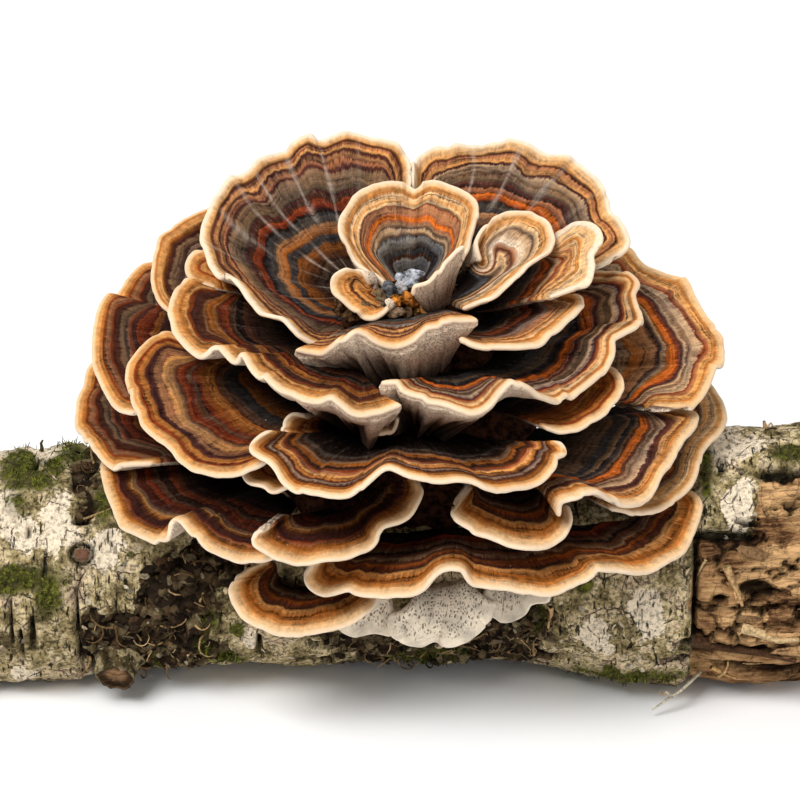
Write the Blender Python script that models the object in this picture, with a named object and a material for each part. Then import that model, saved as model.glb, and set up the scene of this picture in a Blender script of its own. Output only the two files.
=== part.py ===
"""A turkey tail fungus: a rosette of overlapping caps that grows on a short length of dead birch branch.

The branch lies along X and rests on the plane z = 0. The rosette opens upwards and towards -Y, where the
viewer stands. Each cap is a thin wavy shelf that fans out from a root in the rosette's foot. A cap is
described by its rim: where the viewer sees each point of it, and how far in front of the branch's axis
that point is. The whole is modelled about the branch's axis, and moved at the end so that the middle of
its underside is the origin.
"""

import math
from dataclasses import dataclass

import bmesh
import bpy
from mathutils import Matrix, Vector, noise

MM = 0.001

# Driving dimensions
BRANCH_LENGTH = 176 * MM
BRANCH_AXIS_HEIGHT = 22 * MM
BRANCH_AXIS_BEHIND_MIDDLE = 5.8 * MM
CAP_THICKNESS = 3.0 * MM
SMALL_CAP_THICKNESS = 2.2 * MM
GAP = 0.45 * MM

# The viewer, and the frame that the rim points are read in
VIEW_DISTANCE = 600 * MM
VIEW_ELEVATION = math.radians(30)
VIEW_TARGET = Vector((0, 0, BRANCH_AXIS_HEIGHT + 37.5 * MM))
FRAME_WIDTH = 160 * MM
FRAME_PIXELS = 800
MIDDLE_PIXEL = FRAME_PIXELS / 2
AXIS_PIXEL = 562

# Shape of a cap. It starts a share of the way from its root to its rim, and its waves grow towards the rim.
# Waves are what differs from the rim's average over a share of its length. Which way is up is averaged over
# a longer share, and then evened out with that of the whole cap. The rim is a share as thick as the root.
ROOT_START = 0.12
WAVE_GROWTH = 2.5
WAVE_REACH = 0.14
TILT_REACH = 0.25
EVENNESS = 1.0
RIM_SHARE = 0.5
CURVE_STEPS = 12
SHARP_ANGLE = math.radians(50)

# Stations along the branch: pixel across, pixel of its upper edge, pixel of its lower edge
BRANCH_EDGES = [
    (-60, 459, 690),
    (60, 449, 682),
    (180, 441, 676),
    (300, 436, 669),
    (420, 434, 665),
    (540, 433, 671),
    (640, 433, 684),
    (740, 431, 699),
    (860, 414, 684),
]
BRANCH_RINGS = 20
BRANCH_SIDES = 18
LUMP_SIZE = 14 * MM
LUMP_HEIGHT = 1.2 * MM
GROUND_SIZE = 0.4

# Broken branchlets: place, direction, radius at the broken end, length
STUBS = [
    (Vector((-57, -20, 9)) * MM, Vector((-0.1, -1, -0.45)), 4.2 * MM, 9 * MM),
    (Vector((74.5, 4, 46)) * MM, Vector((0.25, 0.1, 1)), 1.8 * MM, 10 * MM),
]
STUB_SIDES = 8
STUB_FLARE = 1.25

# The foot of the rosette, from below upwards. All are millimetres: height above the branch's axis, half
# width, reach forward, reach back, and the place of its middle across.
FOOT_LEVELS = [
    (10, 34, 20, -18, 0),
    (20, 33, 20, -16, 1),
    (30, 28, 16.5, -14, 1),
    (40, 23, 12.5, -13, 1),
    (50, 18, 8, -13, 1),
    (58, 14, 7, -11, 1),
    (65, 9, 6, -8, 1),
]
FOOT_SEGMENTS = 20
FOOT_RINGS = 10
FOOT_FULLNESS = 0.6
POLE = 0.999
FOOT_LUMP_SIZE = 7
FOOT_LUMP_HEIGHT = 1.0

# Colours and roughness of the caps as a whole
GREY_BROWN = ((0.23, 0.17, 0.12), 0.85)
TAN = ((0.40, 0.27, 0.14), 0.85)
RUST = ((0.24, 0.10, 0.05), 0.85)
CREAM = ((0.62, 0.52, 0.38), 0.9)


@dataclass
class Cap:
    """One bracket. Points are (pixel across, pixel down, millimetres forward of the branch's axis).

    The rim runs anticlockwise seen from the cap's upper side. The root is one point or two. The arch is how
    far the cap's middle stands above a straight line from root to rim, in millimetres.
    """

    name: str
    root: list
    rim: list
    arch: float = 1.5
    colour: tuple = GREY_BROWN
    thickness: float = CAP_THICKNESS
    rows: int = 2
    columns: int = 12


BACK_CAPS = [
    Cap(
        "cap_back_left",
        [(362, 300, 3), (392, 284, -7)],
        [
            (411, 184, -25), (408, 158, -30), (395, 143, -32), (372, 138, -33), (346, 132, -33),
            (320, 140, -31), (309, 136, -31), (284, 147, -29), (262, 155, -26), (244, 173, -22),
            (230, 177, -21), (215, 196, -16), (204, 218, -12), (200, 238, -8), (206, 258, -4),
            (218, 277, 0), (232, 272, 3), (248, 293, 8), (260, 312, 11), (283, 320, 14),
            (300, 334, 16), (320, 343, 15), (338, 338, 12),
        ],
        arch=-4.5, rows=3, columns=17,
    ),
    Cap(
        "cap_back_right",
        [(446, 296, 1), (416, 282, -7)],
        [
            (598, 264, -3), (613, 258, -5), (626, 251, -6), (629, 238, -8), (619, 219, -11),
            (610, 208, -14), (607, 192, -17), (590, 170, -21), (572, 160, -24), (545, 152, -27),
            (512, 139, -31), (501, 142, -32), (470, 143, -33), (440, 145, -33), (422, 148, -33),
            (415, 160, -30), (414, 184, -25),
        ],
        arch=-4.5, rows=3, columns=17,
    ),
    Cap(
        "cap_left_upper",
        [(350, 300, -10), (350, 318, -3)],
        [
            (214, 206, -26), (195, 213, -23), (172, 226, -20), (159, 238, -17), (153, 258, -13),
            (151, 280, -9), (156, 298, -6), (168, 310, -3), (190, 318, 0),
        ],
        arch=-1.0, columns=12,
    ),
    Cap(
        "cap_left_upper_small",
        [(350, 298, -8), (345, 312, -2)],
        [(230, 240, -14), (208, 247, -12), (192, 252, -11), (184, 267, -9), (189, 280, -7), (210, 286, -5)],
        arch=0.5, thickness=SMALL_CAP_THICKNESS, columns=8,
    ),
    Cap(
        "cap_left_far",
        [(335, 318, -14), (330, 335, -8)],
        [(175, 262, -30), (152, 263, -28), (137, 266, -25), (124, 282, -20), (116, 296, -17), (125, 312, -14)],
        arch=0.5, columns=8,
    ),
    Cap(
        "cap_left_tall",
        [(330, 345, -9), (325, 368, 0)],
        [
            (135, 300, -20), (118, 297, -17), (107, 293, -14), (99, 303, -10), (93, 325, -5), (91, 348, -1),
            (95, 373, 4), (106, 397, 9), (120, 411, 12), (138, 414, 14), (160, 412, 16),
        ],
        colour=TAN, arch=0.5, columns=12,
    ),
    Cap(
        "cap_left_low",
        [(290, 435, -10), (295, 462, 4)],
        [
            (110, 362, -18), (90, 364, -16), (82, 385, -11), (75, 402, -7), (75, 424, -1), (81, 433, 3),
            (97, 455, 10), (112, 467, 13), (130, 463, 14), (150, 462, 15),
        ],
        colour=RUST, arch=1.5, columns=12,
    ),
    Cap(
        "cap_right_tall",
        [(488, 385, 2), (478, 350, -12)],
        [
            (660, 409, 8), (684, 408, 9), (701, 399, 8), (712, 383, 5), (717, 367, 2), (724, 360, 0),
            (722, 336, -7), (708, 318, -12), (697, 298, -17), (685, 276, -22), (668, 271, -26),
            (646, 263, -30), (630, 246, -33), (610, 245, -34),
        ],
        arch=-1.0, rows=3, columns=17,
    ),
    Cap(
        "cap_right_low",
        [(525, 475, 8), (515, 440, -10)],
        [
            (610, 505, 29), (628, 508, 29), (645, 512, 27), (674, 503, 21), (694, 486, 16), (702, 462, 11),
            (706, 446, 8), (720, 435, 4), (727, 420, 0), (724, 403, -5), (714, 384, -11), (695, 372, -15),
        ],
        arch=1.0, columns=17,
    ),
]

CENTRE_CAPS = [
    Cap(
        "cap_centre_fan",
        [(424, 300, 2), (392, 300, 2)],
        [
            (430, 288, 4), (452, 268, 2), (468, 243, -2), (478, 210, -7), (470, 193, -10), (452, 184, -12),
            (428, 179, -13), (415, 188, -12), (404, 182, -13), (380, 182, -12), (356, 194, -9),
            (341, 215, -6), (341, 234, -3), (353, 256, 0), (380, 276, 3), (392, 288, 4),
        ],
        arch=-1.0, thickness=SMALL_CAP_THICKNESS, columns=13,
    ),
    Cap(
        "cap_centre_curl",
        [(384, 284, 1), (400, 296, 5)],
        [
            (368, 285, 5), (358, 271, 6), (346, 269, 7), (333, 277, 8), (332, 291, 9), (343, 303, 10),
            (356, 315, 11), (372, 319, 12), (386, 309, 11), (388, 303, 9),
        ],
        colour=TAN, arch=0.5, thickness=SMALL_CAP_THICKNESS, columns=10,
    ),
    Cap(
        "cap_centre_ear",
        [(424, 312, 6), (446, 306, 4)],
        [(411, 296, 13), (414, 284, 13), (432, 277, 12), (447, 258, 11), (463, 245, 9), (466, 258, 8)],
        colour=TAN, arch=0.5, thickness=SMALL_CAP_THICKNESS, columns=8,
    ),
    Cap(
        "cap_centre_spoon",
        [(440, 300, 4), (456, 285, -4)],
        [
            (461, 308, 12), (478, 302, 13), (500, 292, 13), (515, 276, 12), (531, 259, 9), (549, 250, 5),
            (553, 234, 1), (541, 216, -3), (510, 211, -7), (489, 223, -6), (479, 242, -3), (483, 262, -1),
        ],
        colour=TAN, arch=-1.0, thickness=SMALL_CAP_THICKNESS, columns=12,
    ),
    Cap(
        "cap_centre_right",
        [(462, 310, 3), (472, 296, -6)],
        [
            (556, 297, 13), (573, 289, 13), (589, 280, 12), (594, 266, 10), (593, 254, 7), (603, 242, 5),
            (600, 228, 2), (585, 221, 0), (569, 225, -2), (555, 241, -3),
        ],
        colour=TAN, arch=0.0, thickness=SMALL_CAP_THICKNESS, columns=12,
    ),
]

FRONT_CAPS = [
    Cap(
        "cap_front_cup",
        [(385, 375, 3), (420, 375, 3)],
        [
            (293, 349, 17), (308, 352, 18), (322, 352, 19), (336, 342, 20), (352, 330, 20), (366, 334, 20),
            (380, 344, 20), (395, 347, 20), (410, 340, 20), (424, 328, 19), (445, 323, 18), (462, 319, 17),
            (481, 319, 16),
        ],
        arch=-1.5, columns=17,
    ),
    Cap(
        "cap_front_upper_right",
        [(455, 330, 2), (465, 325, 0)],
        [
            (459, 337, 17), (473, 344, 19), (495, 347, 20), (520, 347, 20), (540, 343, 19), (553, 332, 17),
            (570, 318, 14), (584, 303, 10), (578, 296, 6), (558, 298, 2),
        ],
        colour=TAN, arch=0.5, columns=12,
    ),
    Cap(
        "cap_tier_right",
        [(435, 372, 3), (475, 352, -4)],
        [
            (379, 381, 25), (396, 380, 26), (405, 391, 28), (424, 398, 30), (448, 404, 32), (472, 413, 33),
            (488, 406, 32), (499, 390, 31), (512, 380, 30), (528, 387, 29), (548, 397, 27), (564, 400, 24),
            (581, 388, 21), (601, 376, 17), (611, 358, 14), (615, 338, 11), (626, 331, 9), (640, 323, 7),
            (642, 311, 4), (636, 295, 0), (640, 281, -3), (624, 270, -7), (594, 270, -9),
        ],
        arch=0.5, rows=3, columns=17,
    ),
    Cap(
        "cap_tier_left",
        [(345, 335, -1), (365, 362, 6)],
        [
            (215, 281, -8), (195, 276, -8), (177, 285, -4), (169, 303, 1), (171, 325, 7), (184, 344, 12),
            (199, 354, 15), (214, 345, 16), (231, 361, 20), (240, 353, 21), (257, 373, 24), (288, 393, 28),
            (314, 402, 30), (331, 398, 31), (350, 412, 32), (369, 416, 32), (389, 411, 31), (402, 404, 30),
        ],
        colour=TAN, arch=0.5, rows=3, columns=17,
    ),
    Cap(
        "cap_wing_left",
        [(320, 384, 4), (328, 400, 9)],
        [
            (188, 344, -3), (168, 332, -3), (149, 336, -1), (133, 354, 4), (124, 374, 8), (129, 390, 11),
            (131, 404, 15), (143, 427, 20), (164, 442, 24), (181, 461, 28), (201, 472, 31), (230, 475, 33),
            (252, 468, 34), (265, 460, 34),
        ],
        colour=RUST, arch=1.0, rows=3, columns=17,
    ),
    Cap(
        "cap_shelf_front",
        [(360, 425, 6), (440, 425, 6)],
        [
            (272, 432, 30), (250, 447, 35), (272, 464, 39), (287, 484, 42), (313, 495, 44), (347, 495, 45),
            (366, 479, 44), (387, 467, 43), (411, 474, 44), (434, 479, 44), (456, 478, 44), (480, 482, 43),
            (503, 488, 42), (537, 484, 38), (552, 470, 36), (557, 457, 34), (566, 451, 32), (555, 443, 30),
        ],
        arch=0.5, rows=3, columns=17,
    ),
    Cap(
        "cap_wing_right",
        [(485, 455, 10), (490, 435, 2)],
        [
            (556, 516, 37), (560, 503, 38), (577, 496, 38), (600, 494, 36), (616, 501, 33), (636, 505, 30),
            (653, 495, 26), (667, 470, 21), (684, 443, 14), (700, 417, 7), (689, 410, 3), (665, 409, 0),
        ],
        arch=1.0, rows=3, columns=17,
    ),
    Cap(
        "cap_right_round",
        [(470, 402, 6), (470, 385, -2)],
        [
            (545, 428, 26), (565, 432, 27), (592, 422, 24), (613, 405, 19), (623, 386, 14), (619, 371, 10),
            (608, 366, 7),
        ],
        arch=1.0, thickness=SMALL_CAP_THICKNESS, columns=12,
    ),
]

LOW_CAPS = [
    Cap(
        "cap_low_left",
        [(265, 470, 2), (300, 500, 12)],
        [
            (110, 458, 4), (101, 464, 8), (102, 482, 13), (109, 505, 19), (121, 526, 24), (142, 536, 28),
            (163, 542, 31), (168, 524, 31), (177, 519, 31), (191, 531, 33), (208, 549, 35), (238, 562, 37),
            (268, 558, 38), (284, 549, 37),
        ],
        colour=RUST, arch=2.0, rows=3, columns=17,
    ),
    Cap(
        "cap_low_front",
        [(325, 510, 10), (365, 500, 10)],
        [
            (270, 530, 38), (254, 542, 42), (279, 557, 43), (303, 563, 43), (327, 558, 43), (353, 555, 42),
            (370, 547, 40), (382, 528, 38), (407, 514, 35), (420, 492, 31), (415, 477, 27),
        ],
        colour=RUST, arch=2.0, columns=13,
    ),
    Cap(
        "cap_low_small_right",
        [(470, 482, 10), (520, 482, 10)],
        [
            (470, 490, 26), (453, 512, 37), (470, 528, 40), (492, 536, 41), (515, 545, 42), (543, 546, 41),
            (563, 536, 37), (570, 522, 34), (565, 505, 30),
        ],
        colour=RUST, arch=1.5, columns=12,
    ),
    Cap(
        "cap_lowest_left",
        [(290, 575, 16), (340, 572, 16)],
        [
            (268, 560, 24), (245, 571, 27), (228, 591, 30), (240, 614, 33), (266, 631, 36), (290, 635, 37),
            (325, 631, 38), (352, 622, 38), (371, 610, 36), (377, 596, 33), (372, 586, 30),
        ],
        colour=RUST, arch=2.0, columns=13,
    ),
    Cap(
        "cap_lowest_right",
        [(375, 530, 14), (600, 508, 7)],
        [
            (325, 556, 34), (305, 576, 36), (318, 594, 38), (343, 590, 40), (372, 594, 41), (405, 597, 42),
            (422, 588, 42), (437, 571, 42), (462, 568, 42), (476, 583, 42), (505, 588, 42), (532, 593, 42),
            (558, 591, 41), (582, 581, 39), (598, 570, 38), (624, 572, 36), (650, 571, 33), (674, 559, 29),
            (693, 542, 24), (703, 511, 17), (700, 495, 13), (682, 488, 9),
        ],
        arch=2.0, rows=3, columns=17,
    ),
    Cap(
        "cap_front_tiny",
        [(376, 396, 6), (396, 396, 6)],
        [(366, 416, 24), (369, 430, 26), (380, 434, 27), (391, 431, 26), (396, 418, 24)],
        arch=0.5, thickness=SMALL_CAP_THICKNESS, columns=6,
    ),
    Cap(
        "cap_left_sliver",
        [(320, 450, 8), (345, 460, 12)],
        [(243, 472, 30), (248, 482, 32), (260, 486, 33), (274, 489, 34), (287, 484, 34)],
        arch=0.5, thickness=SMALL_CAP_THICKNESS, columns=6,
    ),
    Cap(
        "cap_shelf_lobe",
        [(345, 420, 6), (350, 432, 9)],
        [(305, 417, 20), (291, 415, 21), (283, 421, 22), (284, 430, 24), (292, 434, 26)],
        arch=0.5, thickness=SMALL_CAP_THICKNESS, columns=6,
    ),
]

# Pore surfaces that face outwards hang against the branch, so their rims run the other way round as seen
PORE_LOBES = [
    Cap(
        "pore_lobe_middle",
        [(470, 572, 20), (420, 580, 20)],
        [
            (497, 600, 25), (490, 620, 26), (474, 636, 27), (450, 647, 27), (434, 641, 27), (420, 647, 27),
            (400, 642, 27), (389, 632, 27), (388, 612, 26),
        ],
        colour=CREAM, arch=-3.0, columns=12,
    ),
    Cap(
        "pore_lobe_left",
        [(392, 566, 17), (352, 564, 17)],
        [(398, 616, 25), (392, 635, 26), (374, 634, 26), (356, 637, 26), (338, 627, 26), (334, 606, 25)],
        colour=CREAM, arch=-2.0, thickness=SMALL_CAP_THICKNESS, columns=8,
    ),
    Cap(
        "pore_lobe_right",
        [(534, 556, 17), (494, 558, 17)],
        [
            (557, 585, 28), (550, 601, 29), (533, 606, 28), (521, 618, 27), (503, 622, 27), (489, 614, 26),
            (482, 594, 25),
        ],
        colour=CREAM, arch=-2.0, thickness=SMALL_CAP_THICKNESS, columns=8,
    ),
]

CAPS = BACK_CAPS + CENTRE_CAPS + FRONT_CAPS + LOW_CAPS + PORE_LOBES


def clear_scene():
    """Removes what the scene holds."""
    for found in list(bpy.data.objects):
        bpy.data.objects.remove(found)


def collection(name):
    """A new collection in the scene."""
    made = bpy.data.collections.new(name)
    bpy.context.scene.collection.children.link(made)
    return made


def finish(name, colour, roughness):
    """A plain material."""
    made = bpy.data.materials.new(name)
    made.use_nodes = True
    shader = made.node_tree.nodes["Principled BSDF"]
    shader.inputs["Base Color"].default_value = (*colour, 1)
    shader.inputs["Roughness"].default_value = roughness
    shader.inputs["Metallic"].default_value = 0
    return made


def between(levels, at):
    """Values of a table at a place between its rows, where each row's first value is its place."""
    if at <= levels[0][0]:
        return levels[0][1:]
    for low, high in zip(levels, levels[1:]):
        if at <= high[0]:
            share = (at - low[0]) / (high[0] - low[0])
            return [a + (b - a) * share for a, b in zip(low[1:], high[1:])]
    return levels[-1][1:]


def seen(across, down, forward):
    """The point, that many millimetres in front of the branch's axis, that the viewer sees at a pixel."""
    towards = Vector((0, -math.cos(VIEW_ELEVATION), math.sin(VIEW_ELEVATION)))
    upwards = Vector((0, math.sin(VIEW_ELEVATION), math.cos(VIEW_ELEVATION)))
    eye = VIEW_TARGET + towards * VIEW_DISTANCE
    slope = FRAME_WIDTH / FRAME_PIXELS / VIEW_DISTANCE
    ray = Vector((1, 0, 0)) * (across - MIDDLE_PIXEL) * slope + upwards * (MIDDLE_PIXEL - down) * slope - towards
    return eye + ray * ((-forward * MM - eye.y) / ray.y)


def curve_through(points, count):
    """That many points, evenly spaced, on a smooth curve through the given ones."""
    padded = [2 * points[0] - points[1], *points, 2 * points[-1] - points[-2]]
    fine = []
    for i in range(1, len(padded) - 2):
        before, start, end, after = padded[i - 1 : i + 3]
        for step in range(CURVE_STEPS):
            t = step / CURVE_STEPS
            fine.append(
                0.5 * (
                    2 * start
                    + (end - before) * t
                    + (2 * before - 5 * start + 4 * end - after) * t**2
                    + (3 * start - before - 3 * end + after) * t**3
                )
            )
    fine.append(points[-1])
    lengths = [0.0]
    for a, b in zip(fine, fine[1:]):
        lengths.append(lengths[-1] + (b - a).length)
    found = []
    at = 0
    for i in range(count):
        wanted = lengths[-1] * i / (count - 1)
        while at < len(fine) - 2 and lengths[at + 1] < wanted:
            at += 1
        share = (wanted - lengths[at]) / (lengths[at + 1] - lengths[at])
        found.append(fine[at].lerp(fine[at + 1], min(share, 1.0)))
    return found


def smoothed(points, reach):
    """The points with their waves taken out, the two ends kept."""
    last = len(points) - 1
    found = []
    for i in range(len(points)):
        span = min(reach, i, last - i)
        near = points[i - span : i + span + 1]
        found.append(sum(near, Vector()) / len(near))
    return found


def cap_sheet(cap):
    """The upper surface of a cap: rows of points from its root to its rim, and which way is up along it."""
    columns = cap.columns
    rim = curve_through([seen(*point) for point in cap.rim], columns + 1)
    roots = [seen(*point) for point in cap.root]
    plain = smoothed(rim, max(1, round(columns * WAVE_REACH)))
    upward = []
    for i in range(columns + 1):
        along = plain[min(i + 1, columns)] - plain[max(i - 1, 0)]
        root = roots[0].lerp(roots[-1], i / columns)
        upward.append(along.cross(root - plain[i]).normalized())
    overall = sum(upward, Vector()).normalized()
    upward = smoothed(upward, max(1, round(columns * TILT_REACH)))
    upward = [(direction + overall * EVENNESS).normalized() for direction in upward]
    sheet = []
    for row in range(cap.rows + 1):
        s = ROOT_START + (1 - ROOT_START) * row / cap.rows
        line = []
        for i in range(columns + 1):
            root = roots[0].lerp(roots[-1], i / columns)
            waves = (rim[i] - plain[i]) * s**WAVE_GROWTH
            arched = upward[i] * cap.arch * MM * 4 * s * (1 - s)
            line.append(root.lerp(plain[i], s) + waves + arched)
        sheet.append(line)
    return sheet, upward


def widened(sheet, gap):
    """A sheet with its outermost rows and columns pushed out by a gap."""
    found = [list(line) for line in sheet]
    for line, inner in ((0, 1), (-1, -2)):
        for i, point in enumerate(sheet[line]):
            found[line][i] = point + (point - sheet[inner][i]).normalized() * gap
    for line in found:
        line[0] = line[0] + (line[0] - line[1]).normalized() * gap
        line[-1] = line[-1] + (line[-1] - line[-2]).normalized() * gap
    return found


def cap_object(cap, group, gap=0.0, material=None):
    """A cap, thinner towards its rim. With a gap it is larger by that on every side, to cut its neighbours."""
    sheet, upward = cap_sheet(cap)
    if gap:
        sheet = widened(sheet, gap)
    shape = bmesh.new()
    bmesh.ops.create_grid(shape, x_segments=cap.columns, y_segments=cap.rows, size=1)
    lower = bmesh.ops.extrude_face_region(shape, geom=shape.faces[:], use_keep_orig=True)
    below = {item for item in lower["geom"] if isinstance(item, bmesh.types.BMVert)}
    for vert in shape.verts:
        column = round((1 - vert.co.x) / 2 * cap.columns)
        row = round((vert.co.y + 1) / 2 * cap.rows)
        depth = cap.thickness * (1 - (1 - RIM_SHARE) * row / cap.rows) + gap if vert in below else -gap
        vert.co = sheet[row][column] - upward[column] * depth
    face_outwards(shape)
    return object_of(cap.name + ("_clearance" if gap else ""), shape, group, material)


def face_outwards(shape):
    """Turns the faces of a closed bmesh outwards."""
    bmesh.ops.recalc_face_normals(shape, faces=shape.faces)
    if shape.calc_volume(signed=True) < 0:
        bmesh.ops.reverse_faces(shape, faces=shape.faces)


def object_of(name, shape, group, material=None):
    """An object in a collection, made from a bmesh, which is freed."""
    mesh = bpy.data.meshes.new(name)
    shape.to_mesh(mesh)
    shape.free()
    made = bpy.data.objects.new(name, mesh)
    group.objects.link(made)
    if material:
        mesh.materials.append(material)
    return made


def branch_section(x):
    """Height of the branch's middle above its axis, and its radius, at a place along it."""
    pixel = MIDDLE_PIXEL + x / FRAME_WIDTH * FRAME_PIXELS
    upper, lower = between(BRANCH_EDGES, pixel)
    size = FRAME_WIDTH / FRAME_PIXELS
    middle = (AXIS_PIXEL - (upper + lower) / 2) * size / math.cos(VIEW_ELEVATION)
    return middle, (lower - upper) / 2 * size


def branch_object(group, material):
    """The branch: a cylinder in rings, lumpy all round, with a broken stub, and flat where it lies."""
    shape = bmesh.new()
    bmesh.ops.create_cone(shape, cap_ends=True, segments=BRANCH_SIDES, radius1=1, radius2=1, depth=1)
    long_edges = [edge for edge in shape.edges if edge.verts[0].co.z * edge.verts[1].co.z < 0]
    bmesh.ops.subdivide_edges(shape, edges=long_edges, cuts=BRANCH_RINGS - 2, use_grid_fill=True)
    for vert in shape.verts:
        x = vert.co.z * BRANCH_LENGTH
        middle, radius = branch_section(x)
        place = Vector((x, vert.co.x * radius, vert.co.y * radius))
        lumps = noise.noise(place / LUMP_SIZE) * LUMP_HEIGHT
        out = Vector((0, vert.co.x, vert.co.y))
        vert.co = place + out * lumps + Vector((0, 0, BRANCH_AXIS_HEIGHT + middle))
    face_outwards(shape)
    return object_of("birch_branch", shape, group, material)


def stub_object(group, place, towards, radius, length):
    """A short broken branchlet, to be joined to the branch."""
    shape = bmesh.new()
    turn = towards.to_track_quat("Z", "Y").to_matrix().to_4x4()
    bmesh.ops.create_cone(
        shape, cap_ends=True, segments=STUB_SIDES, radius1=radius * STUB_FLARE, radius2=radius, depth=length,
        matrix=Matrix.Translation(place) @ turn,
    )
    face_outwards(shape)
    return object_of("stub", shape, group)


def foot_object(group, material):
    """The mass of fused roots that all the caps of the rosette fan out from."""
    shape = bmesh.new()
    bmesh.ops.create_uvsphere(shape, u_segments=FOOT_SEGMENTS, v_segments=FOOT_RINGS, radius=1)
    low, high = FOOT_LEVELS[0][0], FOOT_LEVELS[-1][0]
    for vert in shape.verts:
        height = low + (high - low) * (vert.co.z + 1) / 2
        half_width, forward, back, middle = between(FOOT_LEVELS, height)
        around = Vector((vert.co.x, vert.co.y))
        shrink = 1 if abs(vert.co.z) > POLE else around.length ** -FOOT_FULLNESS
        across = middle + around.x * shrink * half_width
        depth = (forward + back) / 2 - around.y * shrink * (forward - back) / 2
        lumps = noise.noise(Vector((across, depth, height)) / FOOT_LUMP_SIZE) * FOOT_LUMP_HEIGHT
        out = Vector((around.x, around.y, vert.co.z))
        place = Vector((across, -depth, height)) + out * lumps
        vert.co = place * MM + Vector((0, 0, BRANCH_AXIS_HEIGHT))
    return object_of("rosette_foot", shape, group, material)


def applied(piece):
    """Replaces the object's mesh by what its modifiers make of it."""
    bpy.context.view_layer.update()
    evaluated = piece.evaluated_get(bpy.context.evaluated_depsgraph_get())
    mesh = bpy.data.meshes.new_from_object(evaluated)
    piece.modifiers.clear()
    piece.data = mesh


def swollen(piece, group):
    """A copy of a piece that is larger by the gap on every side, to cut its neighbours with."""
    shape = bmesh.new()
    shape.from_mesh(piece.data)
    shape.normal_update()
    moved = [(vert, vert.co + vert.normal * GAP) for vert in shape.verts]
    for vert, place in moved:
        vert.co = place
    return object_of(piece.name + "_clearance", shape, group)


def boxes_meet(a, b):
    """Whether the boxes around two objects overlap."""
    for axis in range(3):
        first = [vert.co[axis] for vert in a.data.vertices]
        second = [vert.co[axis] for vert in b.data.vertices]
        if max(first) < min(second) or max(second) < min(first):
            return False
    return True


def boolean(piece, operation, other, solver="EXACT"):
    """Joins another object to a piece, or cuts it away."""
    made = piece.modifiers.new(operation.title() + " " + other.name, "BOOLEAN")
    made.operation = operation
    made.solver = solver
    made.object = other


def bodies(shape):
    """The separate bodies of a bmesh, each as a set of its faces."""
    left = set(shape.faces)
    found = []
    while left:
        body = set()
        edge_of_body = [left.pop()]
        while edge_of_body:
            face = edge_of_body.pop()
            body.add(face)
            for edge in face.edges:
                for near in edge.link_faces:
                    if near in left:
                        left.remove(near)
                        edge_of_body.append(near)
        found.append(body)
    return found


def keep_largest_body(piece):
    """Drops the crumbs that a cut leaves beyond a neighbour."""
    shape = bmesh.new()
    shape.from_mesh(piece.data)
    by_size = sorted(bodies(shape), key=lambda body: sum(face.calc_area() for face in body))
    crumbs = [face for body in by_size[:-1] for face in body]
    bmesh.ops.delete(shape, geom=crumbs, context="FACES")
    shape.to_mesh(piece.data)
    shape.free()


def cut_clear(piece, cutters):
    """Cuts a piece clear of every neighbour that it would run into.

    The sheets are thin and their corners by the root fold over, where the exact solver gives nothing.
    """
    for cutter in cutters:
        if boxes_meet(piece, cutter):
            boolean(piece, "DIFFERENCE", cutter, "MANIFOLD")
    applied(piece)
    keep_largest_body(piece)
    piece.data.shade_smooth()
    piece.data.set_sharp_from_angle(angle=SHARP_ANGLE)


def main():
    """Builds the branch, the rosette's foot on it, and the caps from the upper layers down."""
    clear_scene()
    parts = collection("turkey_tail_fungus")
    cutters = collection("cutters")

    ground_shape = bmesh.new()
    bmesh.ops.create_cube(ground_shape, size=GROUND_SIZE, matrix=Matrix.Translation((0, 0, -GROUND_SIZE / 2)))
    ground = object_of("ground", ground_shape, cutters)
    branch = branch_object(parts, finish("Dead birch wood and bark", (0.20, 0.15, 0.11), 0.9))
    for place, towards, radius, length in STUBS:
        boolean(branch, "UNION", stub_object(cutters, place, towards, radius, length))
    boolean(branch, "DIFFERENCE", ground)
    applied(branch)
    keep_largest_body(branch)

    foot = foot_object(parts, finish("Fused fungus flesh", (0.42, 0.36, 0.28), 0.85))
    clearances = [swollen(branch, cutters)]
    cut_clear(foot, clearances)
    clearances.append(swollen(foot, cutters))

    for cap in CAPS:
        made = cap_object(cap, parts, material=finish(cap.name, *cap.colour))
        cut_clear(made, clearances)
        clearances.append(cap_object(cap, cutters, GAP))

    for piece in parts.objects:
        piece.location.y = BRANCH_AXIS_BEHIND_MIDDLE
    for cutter in cutters.objects:
        cutter.hide_render = True
        cutter.display_type = "WIRE"


main()
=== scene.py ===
"""Looks of a turkey tail fungus: a rosette of banded caps on a short length of dead birch branch."""

import logging
import math
from dataclasses import dataclass, field
from enum import Enum
from typing import Any, Callable

import bpy
import numpy as np
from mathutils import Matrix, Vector, noise


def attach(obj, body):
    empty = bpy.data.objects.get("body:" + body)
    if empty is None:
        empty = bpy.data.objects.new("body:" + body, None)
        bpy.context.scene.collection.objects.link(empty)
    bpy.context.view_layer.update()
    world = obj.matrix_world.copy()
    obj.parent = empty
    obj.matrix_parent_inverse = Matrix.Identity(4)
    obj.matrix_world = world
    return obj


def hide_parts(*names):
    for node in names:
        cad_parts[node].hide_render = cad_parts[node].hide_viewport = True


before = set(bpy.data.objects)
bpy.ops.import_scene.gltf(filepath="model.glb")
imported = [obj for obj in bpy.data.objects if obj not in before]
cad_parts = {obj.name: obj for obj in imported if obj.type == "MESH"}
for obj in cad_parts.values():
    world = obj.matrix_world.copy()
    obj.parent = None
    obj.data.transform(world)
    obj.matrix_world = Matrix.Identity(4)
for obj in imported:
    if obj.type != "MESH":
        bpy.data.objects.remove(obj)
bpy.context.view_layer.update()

LOG = logging.getLogger("turkey_tail")
MM = 0.001

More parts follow.
